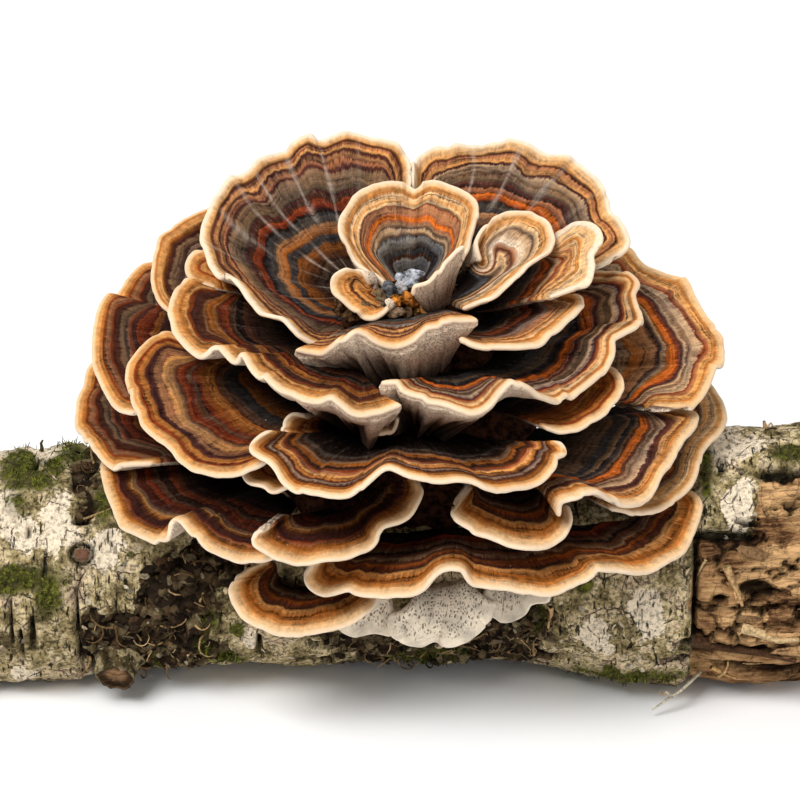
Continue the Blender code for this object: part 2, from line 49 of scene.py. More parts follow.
# The viewer and the frame that rim points are read in, as the solids have them
BRANCH_AXIS_HEIGHT = 22 * MM
BRANCH_AXIS_BEHIND_MIDDLE = 5.8 * MM
VIEW_DISTANCE = 600 * MM
VIEW_ELEVATION = math.radians(30)
VIEW_TARGET = np.array((0, 0, BRANCH_AXIS_HEIGHT + 37.5 * MM))
FRAME_WIDTH = 160 * MM
FRAME_PIXELS = 800
MIDDLE_PIXEL = FRAME_PIXELS / 2
AXIS_PIXEL = 562
SENSOR_WIDTH = 36
SIGHT_SHARE = 0.35
PIXEL = FRAME_WIDTH / FRAME_PIXELS

Pixel = tuple[float, float, float]
Colour = tuple[float, float, float]


# Noise and curves

def lattice(cell: np.ndarray, seed: int) -> np.ndarray:
    """A fixed number between -1 and 1 for each whole cell.

    Args:
        cell: Whole numbers, the last axis being x, y and z.
        seed: Which of the fields to read.

    Returns:
        One number a cell.
    """
    mixed = cell[..., 0] * 374761393 + cell[..., 1] * 668265263 + cell[..., 2] * 1442695041
    mixed = (mixed + seed * 1274126177) & 0xFFFFFFFF
    mixed = ((mixed ^ (mixed >> 13)) * 1274126177) & 0xFFFFFFFF
    mixed = ((mixed ^ (mixed >> 15)) * 2246822519) & 0xFFFFFFFF
    return ((mixed ^ (mixed >> 16)) & 0xFFFF) / 32767.5 - 1


def rough(*axes: np.ndarray | float, seed: int = 0) -> np.ndarray:
    """Smooth noise between -1 and 1 over up to three coordinates.

    Args:
        axes: One to three coordinates, counted in cells.
        seed: Which of the fields to read.

    Returns:
        The noise at each place.
    """
    spread = np.broadcast_arrays(*[np.asarray(axis, float) for axis in axes])
    place = np.stack([*spread, *[np.zeros_like(spread[0])] * (3 - len(spread))], -1)
    cell = np.floor(place).astype(np.int64)
    share = place - cell
    share = share * share * share * (share * (share * 6 - 15) + 10)
    total = np.zeros(place.shape[:-1])
    corners = [(i, j, k) for i in (0, 1) for j in (0, 1) for k in (0, 1)]
    for corner in corners:
        if any(corner[axis] and axis >= len(spread) for axis in range(3)):
            continue
        weight = np.ones_like(total)
        for axis in range(len(spread)):
            weight = weight * (share[..., axis] if corner[axis] else 1 - share[..., axis])
        total += weight * lattice(cell + np.array(corner), seed)
    return total


def layered(*axes: np.ndarray | float, octaves: int = 3, seed: int = 0) -> np.ndarray:
    """Noise with finer noise on it, each layer twice as fine and half as strong."""
    total = rough(*axes, seed=seed)
    for layer in range(1, octaves):
        finer = [np.asarray(axis) * 2.03**layer for axis in axes]
        total = total + rough(*finer, seed=seed + layer) * 0.5**layer
    return total


def ramp(value: np.ndarray | float, low: float, high: float) -> np.ndarray:
    """0 below low, 1 above high and a smooth rise between them."""
    share = np.clip((np.asarray(value, float) - low) / (high - low), 0, 1)
    return share * share * (3 - 2 * share)


def seen(across: float, down: float, forward: float) -> np.ndarray:
    """The point, that many millimetres in front of the branch's axis, that the viewer sees at a pixel."""
    towards = np.array((0, -math.cos(VIEW_ELEVATION), math.sin(VIEW_ELEVATION)))
    upwards = np.array((0, math.sin(VIEW_ELEVATION), math.cos(VIEW_ELEVATION)))
    eye = VIEW_TARGET + towards * VIEW_DISTANCE
    slope = FRAME_WIDTH / FRAME_PIXELS / VIEW_DISTANCE
    ray = np.array((across - MIDDLE_PIXEL, 0, 0)) * slope + upwards * (MIDDLE_PIXEL - down) * slope - towards
    return eye + ray * ((-forward * MM - eye[1]) / ray[1])


def squeezed(places: np.ndarray) -> np.ndarray:
    """The places drawn together along the line of sight, so that lengths are near those that the viewer sees."""
    towards = np.array((0, -math.cos(VIEW_ELEVATION), math.sin(VIEW_ELEVATION)))
    return places - (1 - SIGHT_SHARE) * (places @ towards)[..., None] * towards


def curve_through(points: np.ndarray, count: int) -> np.ndarray:
    """That many points, evenly spaced, on a smooth curve through the given ones."""
    padded = np.vstack([2 * points[0] - points[1], points, 2 * points[-1] - points[-2]])
    share = np.linspace(0, 1, 24, endpoint=False)[:, None]
    fine = []
    for i in range(1, len(padded) - 2):
        before, start, end, after = padded[i - 1 : i + 3]
        fine.append(
            0.5 * (
                2 * start
                + (end - before) * share
                + (2 * before - 5 * start + 4 * end - after) * share**2
                + (3 * start - before - 3 * end + after) * share**3
            )
        )
    fine = np.vstack([*fine, points[-1:]])
    along = np.concatenate([[0], np.cumsum(np.linalg.norm(np.diff(fine, axis=0), axis=1))])
    wanted = np.linspace(0, along[-1], count)
    return np.stack([np.interp(wanted, along, fine[:, axis]) for axis in range(3)], -1)


def smoothed(points: np.ndarray, reach: int) -> np.ndarray:
    """The points with their waves taken out: each is the mean of those within reach of it."""
    last = len(points) - 1
    total = np.vstack([np.zeros((1, points.shape[1])), np.cumsum(points, axis=0)])
    start = np.maximum(np.arange(last + 1) - reach, 0)
    end = np.minimum(np.arange(last + 1) + reach, last) + 1
    return (total[end] - total[start]) / (end - start)[:, None]


def unit(vectors: np.ndarray) -> np.ndarray:
    """The vectors at length one."""
    return vectors / np.maximum(np.linalg.norm(vectors, axis=-1, keepdims=True), 1e-12)


# Shader expressions

class Value:
    """A socket that carries a number. Arithmetic on it adds Math nodes."""

    def __init__(self, graph: "Graph", socket: bpy.types.NodeSocket) -> None:
        """Wraps a socket of a graph."""
        self.graph = graph
        self.socket = socket

    def _maths(self, operation: str, *terms: Any) -> "Value":
        """The result of a Math node on these terms."""
        inputs = dict(enumerate(terms))
        return self.graph.node("ShaderNodeMath", {"operation": operation}, inputs)

    def __add__(self, other: Any) -> "Value":
        """Sum."""
        return self._maths("ADD", self, other)

    __radd__ = __add__

    def __sub__(self, other: Any) -> "Value":
        """Difference."""
        return self._maths("SUBTRACT", self, other)

    def __rsub__(self, other: Any) -> "Value":
        """Difference, the other way round."""
        return self._maths("SUBTRACT", other, self)

    def __mul__(self, other: Any) -> "Value":
        """Product."""
        return self._maths("MULTIPLY", self, other)

    __rmul__ = __mul__

    def __truediv__(self, other: Any) -> "Value":
        """Quotient."""
        return self._maths("DIVIDE", self, other)

    def __pow__(self, other: Any) -> "Value":
        """Power."""
        return self._maths("POWER", self, other)

    def between(self, low: float, high: float) -> "Value":
        """0 below low, 1 above high and a smooth rise between them."""
        settings = {"interpolation_type": "SMOOTHSTEP"}
        return self.graph.node("ShaderNodeMapRange", settings, {"Value": self, "From Min": low, "From Max": high})

    def scaled(self, low: float, high: float) -> "Value":
        """From 0 to 1 made from low to high."""
        return self * (high - low) + low


class Graph:
    """A material's nodes."""

    def __init__(self, name: str) -> None:
        """Starts a material with a Principled shader and an output."""
        self.material = bpy.data.materials.new(name)
        self.material.use_nodes = True
        self.nodes = self.material.node_tree.nodes
        self.links = self.material.node_tree.links
        self.shader = self.nodes["Principled BSDF"]

    def node(self, kind: str, settings: dict[str, Any], inputs: dict[Any, Any], output: Any = 0) -> "Value":
        """Adds a node.

        Args:
            kind: The node's type.
            settings: Its properties, set first. A ramp's stops go under "stops".
            inputs: Values or links by the name or number of its sockets.
            output: Which of its outputs to return.

        Returns:
            The output.
        """
        made = self.nodes.new(kind)
        for key, value in settings.items():
            if key == "stops":
                self._fill_ramp(made.color_ramp, value)
            else:
                setattr(made, key, value)
        for key, value in inputs.items():
            socket = made.inputs[key]
            if isinstance(value, Value):
                self.links.new(value.socket, socket)
            elif isinstance(value, tuple) and len(value) == 3 and socket.type == "RGBA":
                socket.default_value = (*value, 1)
            else:
                socket.default_value = value
        return Value(self, made.outputs[output])

    @staticmethod
    def _fill_ramp(found: bpy.types.ColorRamp, stops: list[tuple[float, Colour]]) -> None:
        """Gives a ramp its stops."""
        while len(found.elements) > 1:
            found.elements.remove(found.elements[-1])
        found.elements[0].position = stops[0][0]
        found.elements[0].color = (*stops[0][1], 1)
        for place, colour in stops[1:]:
            found.elements.new(place).color = (*colour, 1)

    def growth(self) -> tuple["Value", "Value"]:
        """Millimetres along a cap's rim, and the share of the way from the rim to the root."""
        uv = self.node("ShaderNodeUVMap", {"uv_map": GROWTH_MAP}, {})
        along = self.node("ShaderNodeSeparateXYZ", {}, {0: uv}, 0)
        inwards = self.node("ShaderNodeSeparateXYZ", {}, {0: uv}, 1)
        return along, inwards

    def place(self) -> "Value":
        """The place on the piece, in metres."""
        return self.node("ShaderNodeTexCoord", {}, {}, "Object")

    def joined(self, x: Any, y: Any, z: Any = 0.0) -> "Value":
        """A vector from three numbers."""
        return self.node("ShaderNodeCombineXYZ", {}, {0: x, 1: y, 2: z})

    def noise(self, vector: Value, scale: float, detail: float = 2, roughness: float = 0.5) -> "Value":
        """Noise between 0 and 1, of a scale in cells for each unit of the vector."""
        inputs = {"Vector": vector, "Scale": scale, "Detail": detail, "Roughness": roughness}
        return self.node("ShaderNodeTexNoise", {}, inputs)

    def cells(self, vector: Value, scale: float, feature: str = "F1") -> "Value":
        """Distances in a field of cells."""
        return self.node("ShaderNodeTexVoronoi", {"feature": feature}, {"Vector": vector, "Scale": scale})

    def mixed(self, factor: Any, first: Any, second: Any, how: str = "MIX") -> "Value":
        """Two colours mixed."""
        settings = {"data_type": "RGBA", "blend_type": how}
        return self.node("ShaderNodeMix", settings, {0: factor, 6: first, 7: second}, 2)

    def lit(self, colour: Any, brightness: Value) -> "Value":
        """A colour made darker or lighter by a number around 1."""
        return self.node("ShaderNodeVectorMath", {"operation": "MULTIPLY"}, {0: colour, 1: brightness})

    def finish(self, colour: Value, roughness: Any, height: Value | None, depth: float, sheen: float = 0) -> None:
        """Feeds the shader.

        Args:
            colour: The base colour.
            roughness: A number, or what varies over the surface.
            height: The fine relief, from 0 to 1, if there is any.
            depth: How deep the relief is, in metres.
            sheen: How much the surface's fuzz catches light.
        """
        self.links.new(colour.socket, self.shader.inputs["Base Color"])
        if isinstance(roughness, Value):
            self.links.new(roughness.socket, self.shader.inputs["Roughness"])
        else:
            self.shader.inputs["Roughness"].default_value = roughness
        self.shader.inputs["Specular IOR Level"].default_value = 0.06
        self.shader.inputs["Sheen Weight"].default_value = sheen
        self.shader.inputs["Sheen Roughness"].default_value = 0.6
        if height is not None:
            bump = self.node("ShaderNodeBump", {}, {"Height": height, "Distance": depth})
            self.links.new(bump.socket, self.shader.inputs["Normal"])


GROWTH_MAP = "growth"

# Colours of the fungus, by the names that its bands go by
IVORY = (0.81, 0.64, 0.46)
CREAM = (0.76, 0.47, 0.23)
HONEY = (0.63, 0.29, 0.09)
OCHRE = (0.46, 0.16, 0.035)
AMBER = (0.32, 0.095, 0.014)
ORANGE = (0.56, 0.125, 0.014)
RUST = (0.25, 0.045, 0.010)
RED = (0.14, 0.018, 0.006)
PLUM = (0.080, 0.024, 0.018)
COCOA = (0.105, 0.033, 0.014)
UMBER = (0.042, 0.015, 0.007)
INK = (0.012, 0.0055, 0.003)
ROSE = (0.38, 0.14, 0.065)
FAWN = (0.34, 0.155, 0.066)
SAND = (0.44, 0.28, 0.16)
STONE = (0.255, 0.142, 0.076)
ASH = (0.27, 0.18, 0.14)
TAUPE = (0.125, 0.066, 0.036)
OLIVE = (0.088, 0.056, 0.031)
SMOKE = (0.060, 0.044, 0.034)
SLATE = (0.031, 0.030, 0.033)
MIST = (0.20, 0.19, 0.185)
PORES = (0.62, 0.49, 0.37)
# The underside's colour near its root, darkened as painted shade.
SHADED_PORES = (0.17, 0.11, 0.075)
PALE_CREASE = (0.52, 0.42, 0.34)
BLOOM = (0.30, 0.25, 0.21)


class Palette(Enum):
    """Bands of a cap from its rim inwards.

    First how many pixels the bands fill, then for each band how many pixels from the rim the viewer sees it
    end, its colour on the outer side, and on the inner side where that differs.
    """

    # The band colours are partly the bands' own and partly the light and shade that fall on them, painted in; the dark
    # inner bands near the root are partly painted shade.
    BACK_LEFT = (
        181, (4, IVORY), (9, CREAM, HONEY), (12, COCOA), (17, ROSE, HONEY), (20, PLUM), (25, FAWN, ROSE),
        (28, PLUM), (45, STONE, OLIVE), (54, PLUM, UMBER), (62, RUST, RED), (66, INK), (76, SLATE, SMOKE),
        (88, FAWN, AMBER), (97, SLATE, SMOKE), (120, AMBER, UMBER), (181, TAUPE, INK),
    )
    BACK_RIGHT = (
        181, (4, IVORY), (12, CREAM, HONEY), (14, COCOA), (22, ROSE, HONEY), (25, PLUM), (34, SAND, TAUPE),
        (41, STONE, OLIVE), (48, PLUM, UMBER), (54, ROSE, COCOA), (64, ORANGE, RUST), (69, INK, SLATE),
        (80, SMOKE, SLATE), (95, FAWN, COCOA), (115, SMOKE, UMBER), (181, TAUPE, INK),
    )
    CENTRE = (
        118, (6, IVORY, CREAM), (11, HONEY, OCHRE), (20, CREAM, HONEY), (23, CREAM), (27, COCOA, ROSE), (34, FAWN, ROSE),
        (39, ORANGE), (42, ROSE, FAWN), (46, STONE, TAUPE), (51, SAND), (54, TAUPE, SMOKE), (64, MIST, SMOKE), (68, SLATE),
        (72, UMBER), (92, MIST, OLIVE), (118, SMOKE, INK),
    )
    TALL_LEFT = (
        200, (4, IVORY, CREAM), (8, HONEY), (11, OCHRE), (13, RUST), (19, FAWN, ROSE), (24, RUST, COCOA),
        (28, PLUM, COCOA), (34, STONE), (37, TAUPE, SMOKE), (42, ROSE, RUST), (47, PLUM), (60, RUST, RED),
        (66, AMBER), (90, PLUM, UMBER), (120, AMBER, UMBER), (200, UMBER, INK),
    )
    UPPER_LEFT = (
        190, (4, IVORY, CREAM), (6, OCHRE), (12, HONEY), (14, AMBER), (19, COCOA, PLUM), (24, STONE),
        (30, TAUPE, PLUM), (36, ASH, STONE), (41, SMOKE), (48, PLUM, RUST), (58, COCOA, AMBER), (70, RUST, UMBER),
        (90, COCOA, INK), (120, AMBER, UMBER), (190, UMBER, INK),
    )
    TIER_LEFT = (
        185, (5, IVORY, CREAM), (9, HONEY), (13, OCHRE), (17, HONEY), (20, RUST), (26, COCOA, PLUM), (31, COCOA),
        (35, FAWN, AMBER), (43, AMBER, OCHRE), (46, COCOA), (54, RED, RUST), (60, UMBER, TAUPE), (68, INK),
        (80, COCOA, UMBER), (120, UMBER, SMOKE), (185, INK),
    )
    WING_LEFT = (
        195, (4, IVORY, CREAM), (9, HONEY), (13, RUST), (19, OCHRE), (26, PLUM), (34, FAWN, ROSE), (47, HONEY, FAWN),
        (50, COCOA), (58, RUST, RED), (64, COCOA, TAUPE), (78, RED, AMBER), (86, OCHRE, AMBER), (96, COCOA, TAUPE),
        (110, SMOKE, SLATE), (135, AMBER, UMBER), (195, UMBER, INK),
    )
    CUP = (
        60, (4, IVORY, CREAM), (9, HONEY, OCHRE), (11, PLUM), (15, HONEY, ROSE), (17, PLUM), (22, FAWN, HONEY),
        (25, COCOA), (30, STONE, MIST), (36, COCOA, FAWN), (44, SMOKE, MIST), (60, SMOKE, INK),
    )
    PALE = (
        88, (6, IVORY, CREAM), (11, HONEY), (16, HONEY, CREAM), (21, CREAM, SAND), (26, STONE, SAND), (36, SAND, IVORY),
        (41, SAND, ROSE), (44, COCOA), (48, ROSE, SAND), (53, CREAM, SAND), (57, STONE), (62, SMOKE), (74, MIST, SMOKE),
        (88, SLATE, UMBER),
    )
    YELLOW = (
        70, (5, IVORY, CREAM), (11, HONEY), (15, OCHRE, HONEY), (18, COCOA), (26, HONEY, OCHRE), (29, RUST), (38, CREAM, HONEY),
        (42, COCOA), (52, OCHRE, AMBER), (70, SMOKE, SLATE),
    )
    SOFT = (
        90, (6, IVORY), (16, CREAM), (19, HONEY), (21, OCHRE), (30, CREAM, HONEY), (33, ROSE), (41, HONEY, FAWN), (45, RUST),
        (52, SAND, STONE), (57, COCOA), (66, ORANGE, RUST), (75, STONE, SMOKE), (90, SMOKE, UMBER),
    )
    INNER_RIGHT = (
        130, (5, IVORY, CREAM), (8, HONEY), (11, OCHRE), (15, CREAM, HONEY), (18, ROSE, COCOA), (24, HONEY, FAWN), (29, ROSE),
        (33, STONE), (36, ASH), (41, TAUPE, PLUM), (48, UMBER), (58, RUST, COCOA), (72, STONE, SMOKE), (90, SLATE, SMOKE),
        (130, UMBER, INK),
    )
    TIER_RIGHT = (
        120, (5, IVORY, CREAM), (8, OCHRE), (14, CREAM, HONEY), (18, ROSE, RUST), (21, PLUM), (28, ASH, SAND), (34, TAUPE, OLIVE),
        (38, STONE), (43, PLUM), (46, ROSE, RUST), (54, ORANGE), (58, COCOA, UMBER), (66, INK, SLATE), (74, TAUPE, OLIVE),
        (90, SMOKE, SLATE), (120, INK),
    )
    SHELF = (
        60, (4, IVORY, CREAM), (7, HONEY), (10, AMBER), (13, COCOA), (16, STONE, ASH), (19, COCOA), (22, OCHRE), (26, HONEY),
        (29, ROSE), (33, RUST, COCOA), (37, UMBER), (42, AMBER), (46, STONE, TAUPE), (50, UMBER), (54, SMOKE), (60, INK),
    )
    WING_RIGHT = (
        120, (5, IVORY, CREAM), (9, CREAM, HONEY), (13, OCHRE), (18, HONEY, FAWN), (21, COCOA), (26, PLUM), (33, SAND, STONE),
        (38, TAUPE, STONE), (43, COCOA), (52, ORANGE), (55, COCOA), (59, TAUPE), (65, SLATE), (72, STONE, OLIVE),
        (82, SLATE, SMOKE), (120, TAUPE, INK),
    )
    TALL_RIGHT = (
        170, (4, IVORY, CREAM), (9, CREAM, HONEY), (11, OCHRE), (18, HONEY), (24, ROSE, RUST), (31, SAND), (36, STONE),
        (39, SAND, STONE), (43, PLUM), (46, RUST), (54, ORANGE), (57, AMBER), (62, SAND, TAUPE), (67, SMOKE, COCOA),
        (95, FAWN, AMBER), (170, STONE, UMBER),
    )
    GOLD_RIGHT = (
        120, (4, IVORY, CREAM), (8, CREAM, HONEY), (11, RUST), (17, OCHRE, AMBER), (20, RUST), (28, AMBER), (31, OCHRE),
        (38, AMBER, RUST), (50, AMBER, COCOA), (58, UMBER, COCOA), (75, PLUM, UMBER), (90, TAUPE, SLATE), (120, INK),
    )
    TAN_RIGHT = (
        120, (5, IVORY, CREAM), (9, HONEY), (20, CREAM, HONEY), (24, SAND, STONE), (28, COCOA), (34, AMBER, OCHRE),
        (40, RUST), (50, AMBER, COCOA), (64, UMBER), (90, TAUPE, UMBER), (120, INK),
    )
    LOW = (
        110, (4, IVORY, CREAM), (9, CREAM, HONEY), (13, OCHRE, AMBER), (16, ROSE, RUST), (22, PLUM), (26, COCOA),
        (31, AMBER, HONEY), (35, STONE, FAWN), (39, PLUM), (45, RED, UMBER), (51, RUST, RED), (56, COCOA, TAUPE),
        (64, UMBER), (76, RUST, COCOA), (88, UMBER), (110, INK),
    )
    LOWEST = (
        84, (5, IVORY, CREAM), (9, CREAM, HONEY), (12, OCHRE), (15, AMBER), (21, OCHRE, HONEY), (26, COCOA), (30, RUST, AMBER),
        (34, COCOA), (39, STONE, TAUPE), (42, COCOA), (46, INK), (54, TAUPE, COCOA), (62, RED, RUST), (68, INK),
        (84, SMOKE, INK),
    )
    EDGE = (
        60, (5, IVORY, CREAM), (14, HONEY, OCHRE), (17, RUST), (26, HONEY, AMBER), (38, AMBER, COCOA), (60, UMBER, INK),
    )

    def stops(self) -> list[tuple[float, Colour]]:
        """The bands as a ramp's stops over 0 to 1, each band a blend from its outer to its inner colour."""
        seen_length, *bands = self.value
        found = []
        start = 0.0
        for end, *colours in bands:
            blend = min(0.2 * (end - start), 0.7)
            found.append(((start + blend) / seen_length, colours[0]))
            found.append(((end - blend) / seen_length, colours[-1]))
            start = end
        return found


@dataclass(frozen=True)
class CapFinish:
    """The velvety, banded upper side of a cap, its pale rim and its pored underside."""

    name: str
    palette: Palette
    reach: float
    tone: float = 1.0
    creases: bool = False
    pore_size: float = 0.33 * MM

    def material(self) -> bpy.types.Material:
        """Builds the material."""
        graph = Graph(self.name)
        along, inwards = graph.growth()
        place = graph.place()
        hairs = graph.noise(graph.joined(along * 3.4, inwards * 0.5), 1, 3, 0.75) - 0.5
        streaks = graph.noise(graph.joined(along * 0.75, inwards * 0.07, 4.4), 1, 2, 0.6) - 0.5
        drift = graph.noise(graph.joined(along * 0.085, inwards * 0.15, 7.7), 1, 2, 0.5) - 0.5
        inner = inwards.between(0.3, 1.6)
        deeper = inwards.between(1.2, 2.6)
        depth = inwards + (hairs * 1.1 + streaks * 0.9) * inwards.between(0.8, 4) + drift * 1.6 * inwards.between(0.3, 3)
        ramped = {"stops": self.palette.stops()}
        colour = graph.node("ShaderNodeValToRGB", ramped, {"Fac": depth / (self.palette.value[0] * PIXEL / MM)})
        rings = graph.noise(graph.joined(depth * 1.7, along * 0.05), 1, 3, 0.75) - 0.5
        colour = graph.mixed((rings * -1).between(0.02, 0.2) * 0.6 * deeper, colour, PLUM)
        mottle = graph.noise(place, 900, 3, 0.7) - 0.5
        bloom = graph.noise(graph.joined(along * 1.6, inwards * 1.1, 3.1), 1, 3, 0.7) + streaks * 0.4
        colour = graph.mixed(bloom.between(0.5, 0.75) * inwards.between(3, 10) * 0.22, colour, BLOOM)
        # The radial streaks brighten and darken the bands partly as painted light and shade along the cap's flutes.
        shade = hairs * (inner * 0.8 + deeper * 1.3) + streaks * (inner * 0.4 + deeper * 1.1)
        shade = shade + rings * (inner * 0.9 + deeper * 2.3) + drift * 0.9 * inner + mottle * (inner * 1.2 + 0.25) + 1
        # Painted shade: inwards of its margin each cap is darkened by its own shade tone, most on the lower and left
        # caps.
        shade = shade * (1 - inwards.between(0.8, 3.5) * (1 - self.tone))
        # Painted shade: darker still towards the root, where the caps above cast shade.
        shade = shade * (1 - inwards.between(0.35 * self.reach, 0.9 * self.reach) * 0.88)
        warmth = (drift + rings * 0.8) * inner
        colour = graph.lit(colour, graph.joined(shade * (1 + warmth * 0.4), shade, shade * (1 - warmth * 0.8)))
        if self.creases:
            crease = graph.node("ShaderNodeAttribute", {"attribute_name": "crease"}, {}, "Fac")
            colour = graph.mixed(crease * (rings + hairs * 0.7).between(-0.35, 0.25), colour, PALE_CREASE)
        dust = 1 - graph.cells(place, 300).between(0.03, 0.05)
        colour = graph.mixed(dust * graph.noise(place, 60, 1).between(0.54, 0.6) * deeper * 0.7, colour, IVORY)
        under = 1 - inwards.between(-0.75, -0.3)
        # Painted shade on the underside: the pits of the pores are darker, the underside darkens towards its root, and
        # its radial pleats darken towards the root.
        pit = graph.cells(place, 1 / self.pore_size).between(0.1, 0.5)
        flesh = graph.mixed(inwards.between(-9, -0.5), SHADED_PORES, PORES)
        pleats = graph.noise(graph.joined(along * 1.1, inwards * 0.05, 1.7), 1, 3, 0.6).between(0.36, 0.6)
        pleats = 1 - (1 - pleats) * (inwards * -1).between(2, 8) * 0.55
        flesh = graph.lit(flesh, (pit.scaled(0.75, 1.05) + mottle * 0.8) * pleats)
        colour = graph.mixed(under, colour, flesh)
        relief = (rings * (0.3 + deeper * 0.7) + hairs * 0.7 + streaks * 1.2 + mottle * 0.6) * inner * (1 - under)
        graph.finish(colour, 0.85, relief + pit * under * 0.9, 0.35 * MM)
        return graph.material


@dataclass(frozen=True)
class PoreFinish:
    """The creamy underside that shows its pores, drawn out downwards into a maze, with a smooth pale margin."""

    tone: float = 1.0

    def material(self) -> bpy.types.Material:
        """Builds the material."""
        graph = Graph("pore_surface")
        _, inwards = graph.growth()
        place = graph.place()
        warp = graph.noise(place, 500, 2, 0.5)
        bent = graph.node("ShaderNodeVectorMath", {"operation": "ADD"}, {0: place, 1: warp * 0.0007})
        drawn = graph.node("ShaderNodeMapping", {}, {"Vector": bent, "Scale": (1, 1, 0.42)})
        wall = graph.cells(drawn, 2000, "DISTANCE_TO_EDGE")
        pit = wall.between(0.14, 0.42) * (inwards * -1).between(1.2, 3.0)
        patches = graph.noise(place, 190, 3, 0.6)
        fine = graph.noise(place, 2200, 2, 0.6)
        # Painted shade: the maze's pits are darker than its walls.
        colour = graph.mixed(pit, (0.86, 0.74, 0.58), (0.40, 0.28, 0.18))
        # Painted shade: each lobe darkened by its shade tone, and darker towards its root.
        shade = patches.between(0.3, 0.62).scaled(0.7, 1.1) * fine.scaled(0.85, 1.15) * self.tone
        colour = graph.lit(colour, shade * (1 - (inwards * -1).between(5, 16) * 0.45))
        graph.finish(colour, 0.85, fine * 0.2 - pit * 0.8, 0.5 * MM)
        return graph.material


# Making pieces

def deselect() -> None:
    """Leaves nothing selected, because an operator acts on all that is."""
    bpy.ops.object.select_all(action="DESELECT")


def laid_grid(name: str, points: np.ndarray, growth: np.ndarray | None = None,
              colours: dict[str, np.ndarray] | None = None) -> bpy.types.Object:
    """Adds a grid, lays it on rows and columns of points and joins its borders where they meet.

    Args:
        name: The piece's name.
        points: Places in metres, by row and column.
        growth: The piece's own map, by row and column, if it has one.
        colours: Its attributes by name, four numbers by row and column.

    Returns:
        The piece, with its faces outwards.
    """
    rows, columns = points.shape[0] - 1, points.shape[1] - 1
    deselect()
    bpy.ops.mesh.primitive_grid_add(x_subdivisions=columns, y_subdivisions=rows, size=2)
    piece = bpy.context.object
    piece.name = name
    mesh = piece.data
    flat = np.zeros(len(mesh.vertices) * 3)
    mesh.vertices.foreach_get("co", flat)
    column = np.rint((flat[0::3] + 1) / 2 * columns).astype(int)
    row = np.rint((flat[1::3] + 1) / 2 * rows).astype(int)
    mesh.vertices.foreach_set("co", points[row, column].ravel())
    if growth is not None:
        corner = np.zeros(len(mesh.loops), int)
        mesh.loops.foreach_get("vertex_index", corner)
        layer = mesh.uv_layers[0]
        layer.name = GROWTH_MAP
        layer.data.foreach_set("uv", growth[row[corner], column[corner]].ravel())
    for key, values in (colours or {}).items():
        layer = mesh.color_attributes.new(name=key, type="FLOAT_COLOR", domain="POINT")
        layer.data.foreach_set("color", values[row, column].ravel())
    bpy.ops.object.mode_set(mode="EDIT")
    bpy.ops.mesh.select_all(action="SELECT")
    bpy.ops.mesh.remove_doubles(threshold=0.001 * MM)
    if enclosed(points) < 0:
        bpy.ops.mesh.flip_normals()
    bpy.ops.object.mode_set(mode="OBJECT")
    bpy.ops.object.shade_smooth()
    return piece


def enclosed(points: np.ndarray) -> float:
    """The volume that a closed grid of points encloses, below 0 if its faces look inwards."""
    a, b = points[:-1, :-1], points[:-1, 1:]
    c, d = points[1:, 1:], points[1:, :-1]
    volume = np.einsum("...i,...i", a, np.cross(b, c)) + np.einsum("...i,...i", a, np.cross(c, d))
    return float(volume.sum() / 6)


def hand_in(piece: bpy.types.Object, material: bpy.types.Material, slot: str, *nodes: str) -> None:
    """Gives a piece its finish, and its place in the frame.

    Args:
        piece: The finished piece.
        material: Its material.
        slot: Not used.
        nodes: Solids that it stands for.
    """
    piece.data.materials.clear()
    piece.data.materials.append(material)
    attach(piece, "root")
    if nodes:
        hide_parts(*nodes)
    LOG.info("%s: %d faces", piece.name, len(piece.data.polygons))


# The rosette

CAP_THICKNESS = 3.0 * MM
SMALL_CAP_THICKNESS = 2.2 * MM
RIM_SHARE = 0.36
ROOT_START = 0.08
WAVE_GROWTH = 2.5
WAVE_REACH = 0.14
TILT_REACH = 0.25
COLUMN_WIDTH = 0.42 * MM
ROW_WIDTH = 0.55 * MM
NOSE = np.radians((70, 47, 23, 0, -23, -47, -70))


